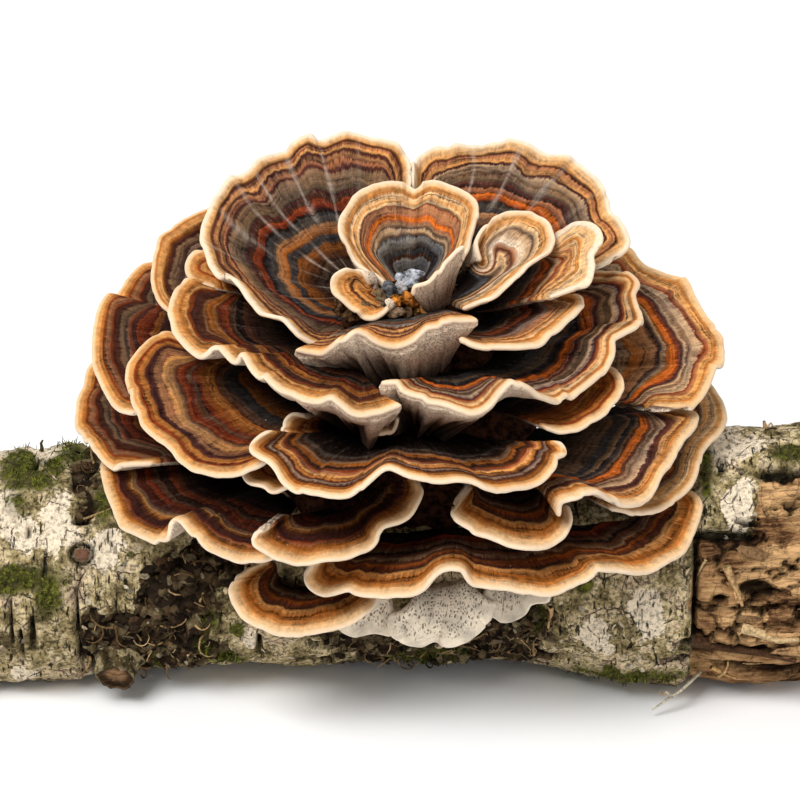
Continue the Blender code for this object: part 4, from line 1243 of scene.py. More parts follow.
@dataclass(frozen=True)
class BarkFinish:
    """Weathered birch bark, rotten wood, litter and moss, each where the branch's own attributes put it."""

    def material(self) -> bpy.types.Material:
        """Builds the material."""
        graph = Graph("birch_branch")
        place = graph.place()
        first = graph.node("ShaderNodeAttribute", {"attribute_name": "cover"}, {}, "Color")
        second = graph.node("ShaderNodeAttribute", {"attribute_name": "detail"}, {}, "Color")
        knot = graph.node("ShaderNodeAttribute", {"attribute_name": "knot"}, {}, "Fac")
        sawn = graph.node("ShaderNodeAttribute", {"attribute_name": "sawn"}, {}, "Color")
        sawn, heart = [graph.node("ShaderNodeSeparateColor", {}, {0: sawn}, i) for i in range(2)]
        moss, wood, litter = [graph.node("ShaderNodeSeparateColor", {}, {0: first}, i) for i in range(3)]
        # The detail attribute carries white bark, painted shade, and golden wood.
        white, hollow, golden = [graph.node("ShaderNodeSeparateColor", {}, {0: second}, i) for i in range(3)]
        broad = graph.noise(place, 70, 3, 0.6)
        coarse = graph.noise(place, 260, 4, 0.65)
        fine = graph.noise(place, 1200, 4, 0.72)
        lengthwise = graph.node("ShaderNodeMapping", {}, {"Vector": place, "Scale": (0.12, 1, 1)})
        grain = graph.noise(lengthwise, 1500, 4, 0.7)
        around = graph.node("ShaderNodeMapping", {}, {"Vector": place, "Scale": (1, 0.2, 0.2)})
        dashes = graph.noise(around, 1100, 3, 0.6)
        ragged = (coarse - 0.5) * 3.0 + (fine - 0.5) * 1.8 + (broad - 0.5) * 1.5
        bark = graph.node("ShaderNodeValToRGB", {"stops": [
            (0.35, (0.035, 0.024, 0.012)), (0.42, (0.13, 0.098, 0.045)), (0.48, (0.31, 0.24, 0.115)),
            (0.54, (0.55, 0.44, 0.265)), (0.60, (0.42, 0.30, 0.20)), (0.68, (0.20, 0.155, 0.075)),
        ]}, {"Fac": broad * 0.45 + coarse * 0.55})
        colour = graph.lit(bark, fine.between(0.34, 0.6).scaled(0.22, 1.3))
        paper = graph.lit((0.75, 0.63, 0.47), fine.between(0.3, 0.58).scaled(0.4, 1.15))
        colour = graph.mixed((white * 2 - 1.1 + ragged * 0.9).between(-0.15, 0.25) * 0.9, colour, paper)
        cracks = graph.cells(graph.node("ShaderNodeVectorMath", {"operation": "ADD"}, {0: place, 1: coarse * 0.004}),
                             210, "DISTANCE_TO_EDGE")
        crack = (1 - cracks.between(0.0, 0.05)) * coarse.between(0.48, 0.56)
        slits = dashes.between(0.60, 0.66)
        colour = graph.lit(colour, 1 - crack * 0.85)
        colour = graph.lit(colour, 1 - slits * 0.9)
        rotten = graph.node("ShaderNodeValToRGB", {"stops": [
            (0.37, (0.010, 0.005, 0.003)), (0.43, (0.08, 0.036, 0.015)), (0.49, (0.25, 0.13, 0.055)),
            (0.57, (0.46, 0.27, 0.12)), (0.68, (0.62, 0.42, 0.22)),
        ]}, {"Fac": grain * 0.4 + coarse * 0.25 + broad * 0.35})
        tan = graph.lit((0.56, 0.33, 0.15), grain.between(0.3, 0.65).scaled(0.35, 1.25))
        rotten = graph.mixed((golden * 2 - 1 + ragged * 0.6).between(-0.2, 0.2), rotten, tan)
        colour = graph.mixed((wood * 2 - 1 + ragged * 0.15).between(-0.15, 0.15), colour, rotten)
        chips = graph.node("ShaderNodeTexVoronoi", {}, {"Vector": place, "Scale": 520}, "Color")
        chip = graph.node("ShaderNodeSeparateColor", {}, {0: chips}, 0)
        soil = graph.node("ShaderNodeValToRGB", {"stops": [
            (0.0, (0.010, 0.006, 0.004)), (0.45, (0.026, 0.016, 0.009)), (0.66, (0.075, 0.046, 0.022)),
            (0.84, (0.15, 0.11, 0.055)), (0.97, (0.33, 0.26, 0.15)),
        ]}, {"Fac": chip * 0.75 + fine * 0.35 - 0.04})
        colour = graph.mixed((litter * 2 - 1 + ragged * 0.9).between(-0.2, 0.2), colour, soil)
        green = graph.node("ShaderNodeValToRGB", {"stops": [
            (0.38, (0.012, 0.012, 0.004)), (0.50, (0.045, 0.045, 0.010)), (0.62, (0.15, 0.15, 0.025)),
        ]}, {"Fac": fine * 0.7 + coarse * 0.3})
        colour = graph.mixed((moss * 2.4 + (broad - 0.5) * 2).between(0.1, 1.6) * 0.45, colour, green)
        colour = graph.mixed((moss * 2 - 1.4 + ragged * 1.5).between(-0.2, 0.5), colour, green)
        colour = graph.mixed(knot, colour, graph.lit((0.15, 0.075, 0.045), fine.scaled(0.4, 1.6)))
        # Painted shade: darker in the hollows, in the gaps between litter chips, along the cracks between the bare
        # wood's planks and in the groove round the knot.
        colour = graph.lit(colour, 1 - hollow * 0.95)
        years = graph.noise(graph.joined(heart * 17 + coarse * 0.8 + broad * 2, 0.0), 1, 2, 0.6)
        grown = graph.node("ShaderNodeValToRGB", {"stops": [
            (0.30, (0.05, 0.024, 0.011)), (0.42, (0.20, 0.11, 0.05)), (0.55, (0.42, 0.26, 0.125)), (0.70, (0.56, 0.39, 0.21)),
        ]}, {"Fac": years * 0.5 + coarse * 0.3 + fine * 0.2})
        rot = (heart.between(0.35, 0.0) + (coarse - 0.5) * 3).between(0.1, 0.7) * 0.8
        grown = graph.mixed(rot, grown, (0.035, 0.018, 0.010))
        colour = graph.mixed(sawn, colour, graph.mixed(heart.between(0.90, 0.94), grown, (0.05, 0.032, 0.02)))
        relief = coarse * 0.5 + fine * 0.5 + grain * wood * 0.6 - slits * 0.4 - crack * 0.5
        graph.finish(colour, 0.9, relief, 0.6 * MM)
        return graph.material


@dataclass
class BirchBranch:
    """A length of dead birch branch: bark over most of it, rotten wood laid bare on the right."""

    rings: int = 320
    sides: int = 236
    end_rings: int = 24
    moss: list[Patch] = field(default_factory=lambda: [
        Patch(30, 482, 34, 12, 0.6), Patch(14, 462, 20, 8, 0.6), Patch(24, 578, 42, 14, 0.7), Patch(50, 594, 16, 22, 0.7),
        Patch(64, 450, 18, 16, 0.6), Patch(50, 470, 12, 14, 0.6), Patch(104, 508, 10, 26, 0.6),
        Patch(213, 622, 10, 14, 0.6), Patch(203, 646, 9, 9, 0.6), Patch(235, 630, 10, 8, 0.6),
        Patch(425, 662, 34, 7, 0.6), Patch(582, 584, 10, 8, 0.6), Patch(630, 672, 60, 8, 0.6), Patch(133, 553, 4, 4, 0.6),
        Patch(786, 455, 18, 7, 0.4), Patch(92, 692, 8, 5, 0.6), Patch(706, 470, 8, 40, 0.7), Patch(540, 618, 8, 16, 0.6),
        Patch(152, 665, 5, 8, 0.6), Patch(18, 505, 16, 14, 0.7), Patch(112, 660, 7, 6, 0.6), Patch(230, 662, 16, 6, 0.6),
    ])
    litter: list[Patch] = field(default_factory=lambda: [
        Patch(182, 600, 48, 52), Patch(110, 638, 36, 34), Patch(170, 655, 60, 22), Patch(84, 512, 14, 16),
        Patch(80, 470, 14, 30), Patch(500, 630, 60, 36), Patch(118, 675, 30, 18), Patch(390, 640, 70, 26),
        Patch(225, 560, 40, 40), Patch(440, 660, 120, 10),
    ])
    white: list[Patch] = field(default_factory=lambda: [
        Patch(8, 512, 16, 26, 0.5), Patch(58, 520, 26, 34, 0.5), Patch(108, 545, 20, 26, 0.5), Patch(16, 674, 14, 9, 0.3),
        Patch(86, 508, 8, 4), Patch(735, 502, 15, 24, 0.3), Patch(645, 612, 18, 22, 0.6), Patch(250, 640, 8, 12, 0.4),
        Patch(592, 632, 18, 16, 0.6), Patch(610, 647, 6, 5), Patch(730, 446, 44, 14, 0.6), Patch(20, 450, 50, 12, 0.6),
        Patch(700, 440, 16, 10, 0.6), Patch(25, 530, 30, 22, 0.8),
    ])
    # Hollows, dented in and darkened with painted shade.
    hollow: list[Patch] = field(default_factory=lambda: [
        Patch(78, 632, 2.5, 42), Patch(753, 590, 20, 9), Patch(782, 470, 24, 6), Patch(30, 462, 2, 8),
        Patch(720, 657, 70, 4), Patch(693, 590, 4, 60), Patch(716, 533, 34, 6), Patch(718, 600, 10, 6),
        Patch(780, 560, 3, 3), Patch(789, 566, 4, 3), Patch(12, 620, 2, 22), Patch(20, 645, 2, 16), Patch(33, 625, 2, 20),
        Patch(100, 672, 16, 8), Patch(770, 674, 46, 6), Patch(790, 500, 8, 4), Patch(30, 530, 1.5, 8), Patch(46, 565, 2, 10),
        Patch(82, 520, 10, 4), Patch(745, 520, 10, 3), Patch(690, 640, 12, 5), Patch(735, 672, 16, 5),
        Patch(258, 645, 2.5, 9), Patch(722, 462, 5, 5), Patch(743, 468, 4, 4),
    ])
    tangle: list[Patch] = field(default_factory=lambda: [
        Patch(712, 598, 24, 36), Patch(122, 626, 48, 20), Patch(170, 640, 30, 10), Patch(726, 680, 18, 10),
        Patch(90, 480, 12, 20),
    ])
    golden: list[Patch] = field(default_factory=lambda: [
        Patch(780, 566, 38, 24), Patch(770, 642, 38, 9), Patch(785, 500, 36, 16), Patch(765, 488, 18, 8),
        Patch(640, 605, 12, 30), Patch(735, 585, 8, 22), Patch(740, 620, 30, 8),
    ])

    def section(self, x: np.ndarray) -> tuple[np.ndarray, np.ndarray]:
        """Height of the branch's middle above its axis, and its radius, at places along it."""
        pixel = MIDDLE_PIXEL + x / PIXEL
        upper = np.interp(pixel, BRANCH_EDGES[:, 0], BRANCH_EDGES[:, 1])
        lower = np.interp(pixel, BRANCH_EDGES[:, 0], BRANCH_EDGES[:, 2])
        middle = (AXIS_PIXEL - (upper + lower) / 2) * PIXEL / math.cos(VIEW_ELEVATION)
        return middle, (lower - upper) / 2 * PIXEL

    def pixels(self, x: np.ndarray, turn: np.ndarray) -> tuple[np.ndarray, np.ndarray]:
        """Where the viewer sees a place on the branch. The far side repeats the near side further along."""
        pixel = MIDDLE_PIXEL + x / PIXEL
        upper = np.interp(pixel, BRANCH_EDGES[:, 0], BRANCH_EDGES[:, 1])
        lower = np.interp(pixel, BRANCH_EDGES[:, 0], BRANCH_EDGES[:, 2])
        lean = turn - VIEW_ELEVATION
        down = (upper + lower) / 2 - (lower - upper) / 2 * np.sin(lean)
        return pixel, down

    def build(self) -> bpy.types.Object:
        """Makes the branch with its relief, closed at both sawn ends and flat where it lies."""
        half = BRANCH_LENGTH / 2
        inner = np.linspace(0.02, 0.97, self.end_rings)
        along = np.concatenate([np.full(self.end_rings, -half), np.linspace(-half, half, self.rings + 1),
                                np.full(self.end_rings, half)])
        share = np.concatenate([inner, np.ones(self.rings + 1), inner[::-1]])
        turn = np.linspace(0, 2 * math.pi, self.sides + 1) - math.radians(150)
        x, angle = np.meshgrid(along, turn)
        share = np.broadcast_to(share, x.shape)
        middle, radius = self.section(x)
        facing = np.stack([np.zeros_like(x), -np.cos(angle), np.sin(angle)], -1)
        skin = np.stack([x, facing[..., 1] * radius, facing[..., 2] * radius], -1)
        lumps = np.array([noise.noise(Vector(point) / LUMP_SIZE) for point in skin.reshape(-1, 3)])
        lumps = lumps.reshape(x.shape) * LUMP_HEIGHT
        relief, masks = self.relief(skin / MM, *self.pixels(x, angle))
        masks["sawn"] = self.sawn(share)
        out = (radius + lumps + relief * MM) * share
        ends = layered(skin[..., 1] * share / MM / 2, skin[..., 2] * share / MM / 2, octaves=4, seed=5) * 0.3
        place = np.stack([x, facing[..., 1] * out, facing[..., 2] * out + middle], -1)
        place[..., 0] += np.where(share < 1, ends * MM * np.sign(x), 0)
        place[..., 2] = np.maximum(place[..., 2] + BRANCH_AXIS_HEIGHT, 0)
        place[..., 1] += BRANCH_AXIS_BEHIND_MIDDLE
        place[:, 0] = place[:, 0].mean(0)
        place[:, -1] = place[:, -1].mean(0)
        place[-1] = place[0]
        piece = laid_grid("look_birch_branch", place, None, masks)
        return piece

    def scatter(self, piece: bpy.types.Object, kind: str, count: int, seed: int) -> tuple[np.ndarray, np.ndarray]:
        """Places on the branch where something grows or lies.

        Args:
            piece: The branch.
            kind: What to look for: moss, wood, litter or bark.
            count: How many places to try.
            seed: Which of the fixed draws to use.

        Returns:
            The places found and which way the surface faces there.
        """
        drawn = np.random.default_rng(seed)
        x = drawn.uniform(-0.49, 0.49, count) * BRANCH_LENGTH
        turn = drawn.uniform(0, 2 * math.pi, count)
        middle, radius = self.section(x)
        facing = np.stack([np.zeros(count), -np.cos(turn), np.sin(turn)], -1)
        skin = facing * radius[:, None]
        skin[:, 0] = x
        masks = self.relief(skin / MM, *self.pixels(x, turn))[1]
        moss, wood, litter = masks["cover"][:, 0], masks["cover"][:, 1], masks["cover"][:, 2]
        tangle = covered(self.tangle, *self.pixels(x, turn), np.zeros(count))
        share = {"moss": moss, "wood": wood, "litter": litter * (1 - wood), "tangle": tangle}.get(kind)
        if share is None:
            share = (1 - wood) * (1 - litter) * (1 - moss)
        chosen = np.flatnonzero(share > drawn.uniform(0.3, 1, count))
        places, normals = [], []
        for i in chosen:
            heart = Vector((x[i], BRANCH_AXIS_BEHIND_MIDDLE, middle[i] + BRANCH_AXIS_HEIGHT))
            hit, place, normal, _ = piece.ray_cast(heart + Vector(facing[i]) * 0.06, Vector(-facing[i]))
            if hit and place.z > 0.4 * MM:
                places.append(place)
                normals.append(normal)
        return np.array(places), np.array(normals)

    def relief(self, skin: np.ndarray, across: np.ndarray, down: np.ndarray) -> tuple[np.ndarray, dict[str, Any]]:
        """Height of the surface over the plain branch in millimetres, what covers it, and where shade is painted on it.
        """
        x, y, z = skin[..., 0], skin[..., 1], skin[..., 2]
        wander = layered(x / 5, y / 5, z / 5, octaves=3, seed=40)
        drift = wander * 6
        moss = covered(self.moss, across, down, wander)
        white = covered(self.white, across, down, wander)
        golden = covered(self.golden, across, down, wander)
        hollow = covered(self.hollow, across, down, wander * 0.6)
        bare = ramp(across + drift, 688, 696) * ramp(down + drift - 60 * ramp(across, 762, 746), 468, 476)
        plate = ramp(across + drift * 0.3, 618, 623) * (1 - ramp(across + drift, 686, 692)) * ramp(down + drift, 560, 568)
        sheet = (1 - ramp(across + drift * 0.2, 73, 77)) * ramp(down + drift, 585, 592)
        litter = covered(self.litter, across, down, wander) * (1 - covered([Patch(114, 566, 27, 44)], across, down, wander))
        litter = litter * (1 - sheet)
        rough_bark = layered(x / 3.0, y / 3.0, z / 3.0, octaves=4, seed=50) * 0.42
        lumps = layered(x / 9, y / 9, z / 9, octaves=2, seed=55) * 0.5
        edge, own = nearest_cells(skin / np.array((30.0, 5.5, 5.5)) + wander[..., None] * 0.22, 60)
        grain = layered(x / 9, y / 0.9, z / 0.9, octaves=3, seed=65) * 0.35
        splits = rough(x / 22, y / 2.6, z / 2.6, seed=67)
        planks = own * 1.2 + grain * 0.5 - 1.4 * (1 - ramp(edge, 0.0, 0.10)) - 0.8 * (1 - ramp(np.abs(splits), 0.0, 0.08))
        chip_edge, chip_own = nearest_cells(skin / 3.4 + wander[..., None] * 0.4, 70)
        small_edge, small_own = nearest_cells(skin / 1.7 + wander[..., None] * 0.5, 75)
        chips = chip_own * 0.9 + small_own * 0.45 - 0.8 * (1 - ramp(chip_edge, 0.0, 0.2)) + rough_bark
        bark = rough_bark + lumps + plate * 0.9 + sheet * 0.7 + white * 0.25
        height = bark * (1 - bare) + (planks - 1.3) * bare
        height = height * (1 - litter) + (chips - 0.9) * litter
        height = height + moss * (0.5 + 0.5 * layered(x / 1.6, y / 1.6, z / 1.6, octaves=2, seed=80))
        height = height - hollow * 2.2
        # Painted shade: dark in the hollows, in the gaps between litter chips and along the cracks between the bare
        # wood's planks.
        shade = np.clip(hollow + 0.7 * litter * (1 - ramp(chip_edge, 0, 0.2)) + bare * (1 - ramp(edge, 0, 0.10)), 0, 1)
        away = np.hypot((across - KNOT.across) / KNOT.half_width, (down - KNOT.down) / KNOT.half_height) + wander * 0.06
        knot = 1 - ramp(away, 0.60, 0.74)
        groove = np.exp(-((away - 0.88) / 0.20) ** 2)
        near_knot = away < 1.5
        height = np.where(near_knot, height + knot * 0.5 - groove * 1.6 + 0.7 * np.exp(-((away - 1.25) / 0.2) ** 2), height)
        # Painted shade in the groove round the knot.
        shade = np.clip(shade + groove * near_knot * 1.1, 0, 1)
        solid = np.ones_like(moss)
        cover = np.stack([moss, bare, litter, solid], -1)
        detail = np.stack([white, shade, golden, solid], -1)
        return height, {"cover": cover, "detail": detail, "knot": np.repeat(knot[..., None], 4, -1)}

    def sawn(self, share: np.ndarray) -> np.ndarray:
        """Where the sawn ends are, and how far out from the heart, as an attribute."""
        solid = np.ones_like(share)
        return np.stack([1 - ramp(share, 0.96, 0.99), share, solid * 0, solid], -1)


@dataclass(frozen=True)
class ScrapFinish:
    """Moss, fibres, chips and splinters, each scrap in its own shade."""

    name: str

    def material(self) -> bpy.types.Material:
        """Builds the material."""
        graph = Graph(self.name)
        tint = graph.node("ShaderNodeAttribute", {"attribute_name": "tint"}, {}, "Color")
        fine = graph.noise(graph.place(), 1500, 3, 0.7)
        graph.finish(graph.lit(tint, fine.between(0.3, 0.65).scaled(0.5, 1.35)), 0.9, fine, 0.2 * MM)
        return graph.material


def strands(name: str, paths: np.ndarray, width: np.ndarray, colours: np.ndarray) -> bpy.types.Object:
    """Makes many thin strands as one piece.

    Args:
        name: The piece's name.
        paths: Each strand's points in metres.
        width: Each strand's half thickness in metres.
        colours: Each strand's colour.

    Returns:
        The piece.
    """
    curve = bpy.data.curves.new(name, "CURVE")
    curve.dimensions = "3D"
    curve.bevel_depth = 1.0
    curve.bevel_resolution = 0
    curve.use_fill_caps = True
    taper = np.linspace(1, 0.35, paths.shape[1])
    for path, half in zip(paths, width):
        spline = curve.splines.new("POLY")
        spline.points.add(len(path) - 1)
        spline.points.foreach_set("co", np.hstack([path, np.ones((len(path), 1))]).ravel())
        spline.points.foreach_set("radius", taper * half)
    piece = bpy.data.objects.new(name, curve)
    bpy.context.collection.objects.link(piece)
    deselect()
    piece.select_set(True)
    bpy.context.view_layer.objects.active = piece
    bpy.ops.object.convert(target="MESH")
    piece = bpy.context.object
    share_out(piece, colours)
    return piece


def share_out(piece: bpy.types.Object, colours: np.ndarray) -> None:
    """Gives each of a piece's like scraps its own colour."""
    each = len(piece.data.vertices) // len(colours)
    layer = piece.data.color_attributes.new(name="tint", type="FLOAT_COLOR", domain="POINT")
    solid = np.hstack([colours, np.ones((len(colours), 1))])
    layer.data.foreach_set("color", np.repeat(solid, each, axis=0).ravel())


def shades(drawn: np.random.Generator, count: int, *colours: Colour) -> np.ndarray:
    """That many colours, each a mix of two neighbours in a row of colours."""
    row = np.array(colours)
    place = drawn.uniform(0, len(row) - 1, count)
    first = np.minimum(place.astype(int), len(row) - 2)
    share = (place - first)[:, None]
    return row[first] * (1 - share) + row[first + 1] * share


@dataclass
class Stub:
    """The stump of a broken side branch. Its foot and direction are in millimetres from the branch's axis."""

    name: str
    foot: tuple[float, float, float]
    direction: tuple[float, float, float]
    radius: float
    length: float
    mossy: float = 0.2

    def build(self) -> bpy.types.Object:
        """Makes the stump: rough bark around, and a torn, hollow end."""
        columns, rows, rings = 56, 16, 12
        ahead = unit(np.array(self.direction, float))
        side = unit(np.cross(ahead, (0.3, 0.1, 1)))
        up = np.cross(side, ahead)
        turn = np.linspace(0, 2 * math.pi, columns + 1)
        facing = np.cos(turn)[:, None] * side + np.sin(turn)[:, None] * up
        share = np.concatenate([np.linspace(0, 1, rows), np.ones(rings)])
        wide = np.concatenate([1.25 - 0.25 * np.linspace(0, 1, rows) ** 0.5, np.linspace(0.9, 0, rings)])
        around = facing * self.radius
        torn = layered(*(around / 1.4).T, octaves=2, seed=101) * 0.09
        torn[-1] = torn[0]
        lines, masks = [], []
        for step, (part, half) in enumerate(zip(share, wide)):
            inner = step >= rows
            bark = 1 + 0.13 * layered(*(around / 1.9 + ahead * part * 3).T, octaves=3, seed=103)
            bark[-1] = bark[0]
            dent = (0.22 * math.sin(half * math.pi) if inner else 0) * self.radius / self.length
            reach = self.length * (part - dent + torn * part * (half if inner else 1))
            lines.append(np.array(self.foot) + ahead * reach[:, None] + around * (half * bark)[:, None])
            # Painted shade inside the torn, hollow end.
            hollow = inner * float(ramp(half, 0.35, 0.75)) * 0.9
            one = np.ones(columns + 1)
            cover = np.stack([one * self.mossy * (not inner), one * inner, one * (not inner) * 0.45, one], -1)
            detail = np.stack([one * 0, one * hollow, one * inner * 0.6, one], -1)
            masks.append((cover, detail, np.stack([one * inner * 0.6] * 4, -1)))
        points = np.array(lines) * MM + np.array((0, BRANCH_AXIS_BEHIND_MIDDLE, BRANCH_AXIS_HEIGHT))
        points[..., 2] = np.maximum(points[..., 2], 0.1 * MM)
        keys = ("cover", "detail", "knot")
        colours = {key: np.array([mask[i] for mask in masks]) for i, key in enumerate(keys)}
        return laid_grid(self.name, points, None, colours)


STUBS = [
    Stub("look_broken_stub", (-57, -19.5, -12), (-0.1, -1, -0.45), 3.9, 4.4),
    Stub("look_twig_stub", (74.5, 4, 20), (0.2, 0.1, 1), 1.8, 8, 0.6),
]


TOUCHING = 99
TWIGS = [
    ([(41, 453, -11), (42, 448, -11), (41, 443, -11), (43, 440, -11)], 0.5, (0.12, 0.09, 0.05)),
    ([(767, 438, -11), (766, 431, -11), (765, 426, -11), (764, 421, -11)], 0.8, (0.05, 0.035, 0.02)),
    ([(765, 429, -11), (768, 426, -11), (771, 423, -11), (773, 426, -11)], 0.4, (0.20, 0.15, 0.06)),
    ([(700, 672, 19), (682, 690, 24), (666, 700, 25), (652, 710, 26)], 0.5, (0.06, 0.05, 0.02)),
    ([(672, 697, 25), (666, 692, 26), (662, 695, 26), (659, 691, 27)], 0.35, (0.07, 0.06, 0.02)),
    ([(726, 566, TOUCHING), (731, 580, TOUCHING), (738, 594, TOUCHING), (743, 605, TOUCHING)], 1.0, (0.55, 0.36, 0.18)),
    ([(551, 606, TOUCHING), (550, 613, TOUCHING), (549, 620, TOUCHING), (549, 628, TOUCHING)], 0.6, (0.50, 0.44, 0.32)),
    ([(719, 676, TOUCHING), (724, 671, TOUCHING), (729, 666, TOUCHING), (728, 660, TOUCHING)], 0.5, (0.45, 0.28, 0.13)),
    ([(711, 666, TOUCHING), (719, 670, TOUCHING), (727, 674, TOUCHING), (736, 677, TOUCHING)], 0.6, (0.45, 0.28, 0.13)),
    ([(742, 628, TOUCHING), (760, 634, TOUCHING), (780, 640, TOUCHING), (797, 639, TOUCHING)], 1.4, (0.48, 0.28, 0.11)),
    ([(706, 560, TOUCHING), (702, 568, TOUCHING), (699, 577, TOUCHING), (697, 586, TOUCHING)], 0.3, (0.50, 0.35, 0.18)),
    ([(690, 640, TOUCHING), (716, 646, TOUCHING), (750, 652, TOUCHING), (796, 660, TOUCHING)], 1.5, (0.07, 0.035, 0.018)),
]


@dataclass
class ForestFloor:
    """What grows and lies on the branch: moss, curled fibres, chips of bark and splinters of wood."""

    branch: BirchBranch
    piece: bpy.types.Object

    def moss(self) -> bpy.types.Object:
        """Makes the tufts of moss."""
        places, normals = self.branch.scatter(self.piece, "moss", 40000, 11)
        clumps = layered(*(places / (2.0 * MM)).T, octaves=2, seed=13) > 0.0
        places, normals = places[clumps], normals[clumps]
        drawn = np.random.default_rng(12)
        count = len(places)
        lean = normals + drawn.normal(0, 0.55, (count, 3))
        length = drawn.uniform(0.4, 1.3, count)[:, None] * MM
        bend = drawn.normal(0, 0.3, (count, 3)) * length
        tips = places + unit(lean) * length
        paths = np.stack([places - normals * 0.2 * MM, (places + tips) / 2 + bend * 0.5, tips + bend], 1)
        colours = shades(drawn, count, (0.018, 0.018, 0.005), (0.05, 0.055, 0.01), (0.13, 0.14, 0.018), (0.26, 0.30, 0.03))
        return strands("look_moss", paths, drawn.uniform(0.09, 0.17, count) * MM, colours)

    def fibres(self, name: str, kind: str, tries: int, seed: int) -> bpy.types.Object:
        """Makes dry, curled fibres on one kind of ground."""
        places, normals = self.branch.scatter(self.piece, kind, tries, seed)
        drawn = np.random.default_rng(seed + 1)
        count, steps = len(places), 7
        ahead = unit(np.cross(normals, drawn.normal(0, 1, (count, 3))))
        paths = [places]
        stride = drawn.uniform(0.5, 1.1, count)[:, None] * MM
        turn = drawn.normal(0, 0.55, count)[:, None]
        for step in range(steps):
            ahead = unit(ahead + np.cross(normals, ahead) * turn + normals * drawn.normal(0, 0.25, (count, 1)))
            paths.append(paths[-1] + ahead * stride)
        paths = np.stack(paths, 1) + normals[:, None] * 0.25 * MM
        colours = shades(drawn, count, (0.03, 0.018, 0.01), (0.12, 0.07, 0.03), (0.32, 0.20, 0.09), (0.55, 0.38, 0.19))
        return strands(name, paths, drawn.uniform(0.12, 0.36, count) * MM, colours)

    def scraps(self, name: str, kind: str, tries: int, size: Colour, colours: list[Colour], seed: int,
               lengthwise: bool = False) -> bpy.types.Object:
        """Makes flat scraps that lie on the branch.

        Args:
            name: The piece's name.
            kind: What they lie on.
            tries: How many places to try.
            size: Half length, half width and half thickness in millimetres, each the largest.
            colours: A row of colours that theirs lie on.
            seed: Which of the fixed draws to use.
            lengthwise: Whether they lie along the branch.

        Returns:
            The piece.
        """
        places, normals = self.branch.scatter(self.piece, kind, tries, seed)
        drawn = np.random.default_rng(seed + 1)
        count = len(places)
        up = unit(normals + drawn.normal(0, 0.22, (count, 3)))
        along = np.array((1.0, 0, 0)) + drawn.normal(0, 0.12, (count, 3)) if lengthwise else drawn.normal(0, 1, (count, 3))
        side = unit(np.cross(up, along))
        along = np.cross(side, up)
        half = np.array(size) * drawn.uniform(0.3, 1, (count, 1)) * drawn.uniform((0.7, 0.5, 0.6), 1, (count, 3)) * MM
        deselect()
        bpy.ops.mesh.primitive_uv_sphere_add(segments=8, ring_count=4, radius=1)
        piece = bpy.context.object
        piece.name = name
        bpy.ops.object.modifier_add(type="ARRAY")
        repeat = piece.modifiers[-1]
        repeat.count = count
        repeat.use_relative_offset = False
        bpy.ops.object.modifier_apply(modifier=repeat.name)
        flat = np.zeros(len(piece.data.vertices) * 3)
        piece.data.vertices.foreach_get("co", flat)
        shape = flat.reshape(count, -1, 3)
        shape = shape * (1 + drawn.uniform(-0.35, 0.2, shape.shape[:2])[..., None]) * half[:, None]
        turned = sum(shape[..., i : i + 1] * axis[:, None] for i, axis in enumerate((along, side, up)))
        place = places[:, None] + up[:, None] * half[:, 2, None, None] * 0.6 + turned
        piece.data.vertices.foreach_set("co", place.ravel())
        share_out(piece, shades(drawn, count, *colours))
        return piece

    def twigs(self) -> bpy.types.Object:
        """Makes the single twigs, rootlets and splinters."""
        paths = np.array([[self.touch(*point) for point in path] for path, _, _ in TWIGS])
        width = np.array([half * MM for _, half, _ in TWIGS])
        return strands("look_twigs", paths, width, np.array([colour for _, _, colour in TWIGS]))

    def touch(self, across: float, down: float, forward: float) -> Vector:
        """The place on the branch that the viewer sees at a pixel, or the one that far forward where it isn't."""
        shift = np.array((0, BRANCH_AXIS_BEHIND_MIDDLE, 0))
        near, far = seen(across, down, 60) + shift, seen(across, down, 0) + shift
        hit, place, normal, _ = self.piece.ray_cast(Vector(near), Vector(far - near).normalized())
        if hit and forward == TOUCHING:
            return place + normal * 0.3 * MM
        return Vector(seen(across, down, forward) + shift)

    def build(self) -> None:
        """Makes and dresses all of them."""
        dark, brown, olive, pale = (0.02, 0.013, 0.008), (0.09, 0.05, 0.025), (0.17, 0.13, 0.07), (0.42, 0.34, 0.22)
        tan, gold = (0.38, 0.22, 0.10), (0.60, 0.40, 0.20)
        pieces = [
            self.moss(),
            self.fibres("look_fibres", "litter", 1500, 21),
            self.fibres("look_tangle", "tangle", 900, 61),
            self.twigs(),
            self.scraps("look_chips", "litter", 5200, (2.0, 1.3, 0.2), [(0.008, 0.005, 0.003), brown, (0.008, 0.005, 0.003), dark, olive, dark, pale], 31),
            self.scraps("look_flakes", "bark", 1500, (1.3, 0.8, 0.10), [olive, pale, (0.55, 0.47, 0.34), dark], 41),
            self.scraps("look_slabs", "wood", 200, (9.0, 1.6, 0.5), [brown, tan, gold, dark, tan], 51, True),
        ]
        for piece in pieces:
            hand_in(piece, ScrapFinish(piece.name.replace("look_", "")).material(), "birch")


FOOT_LEVELS = np.array([
    (10, 34, 20, -18, 0),
    (20, 33, 20, -16, 1),
    (30, 28, 16.5, -14, 1),
    (40, 23, 12.5, -13, 1),
    (50, 18, 8, -13, 1),
    (58, 14, 7, -11, 1),
    (65, 9, 6, -8, 1),
])


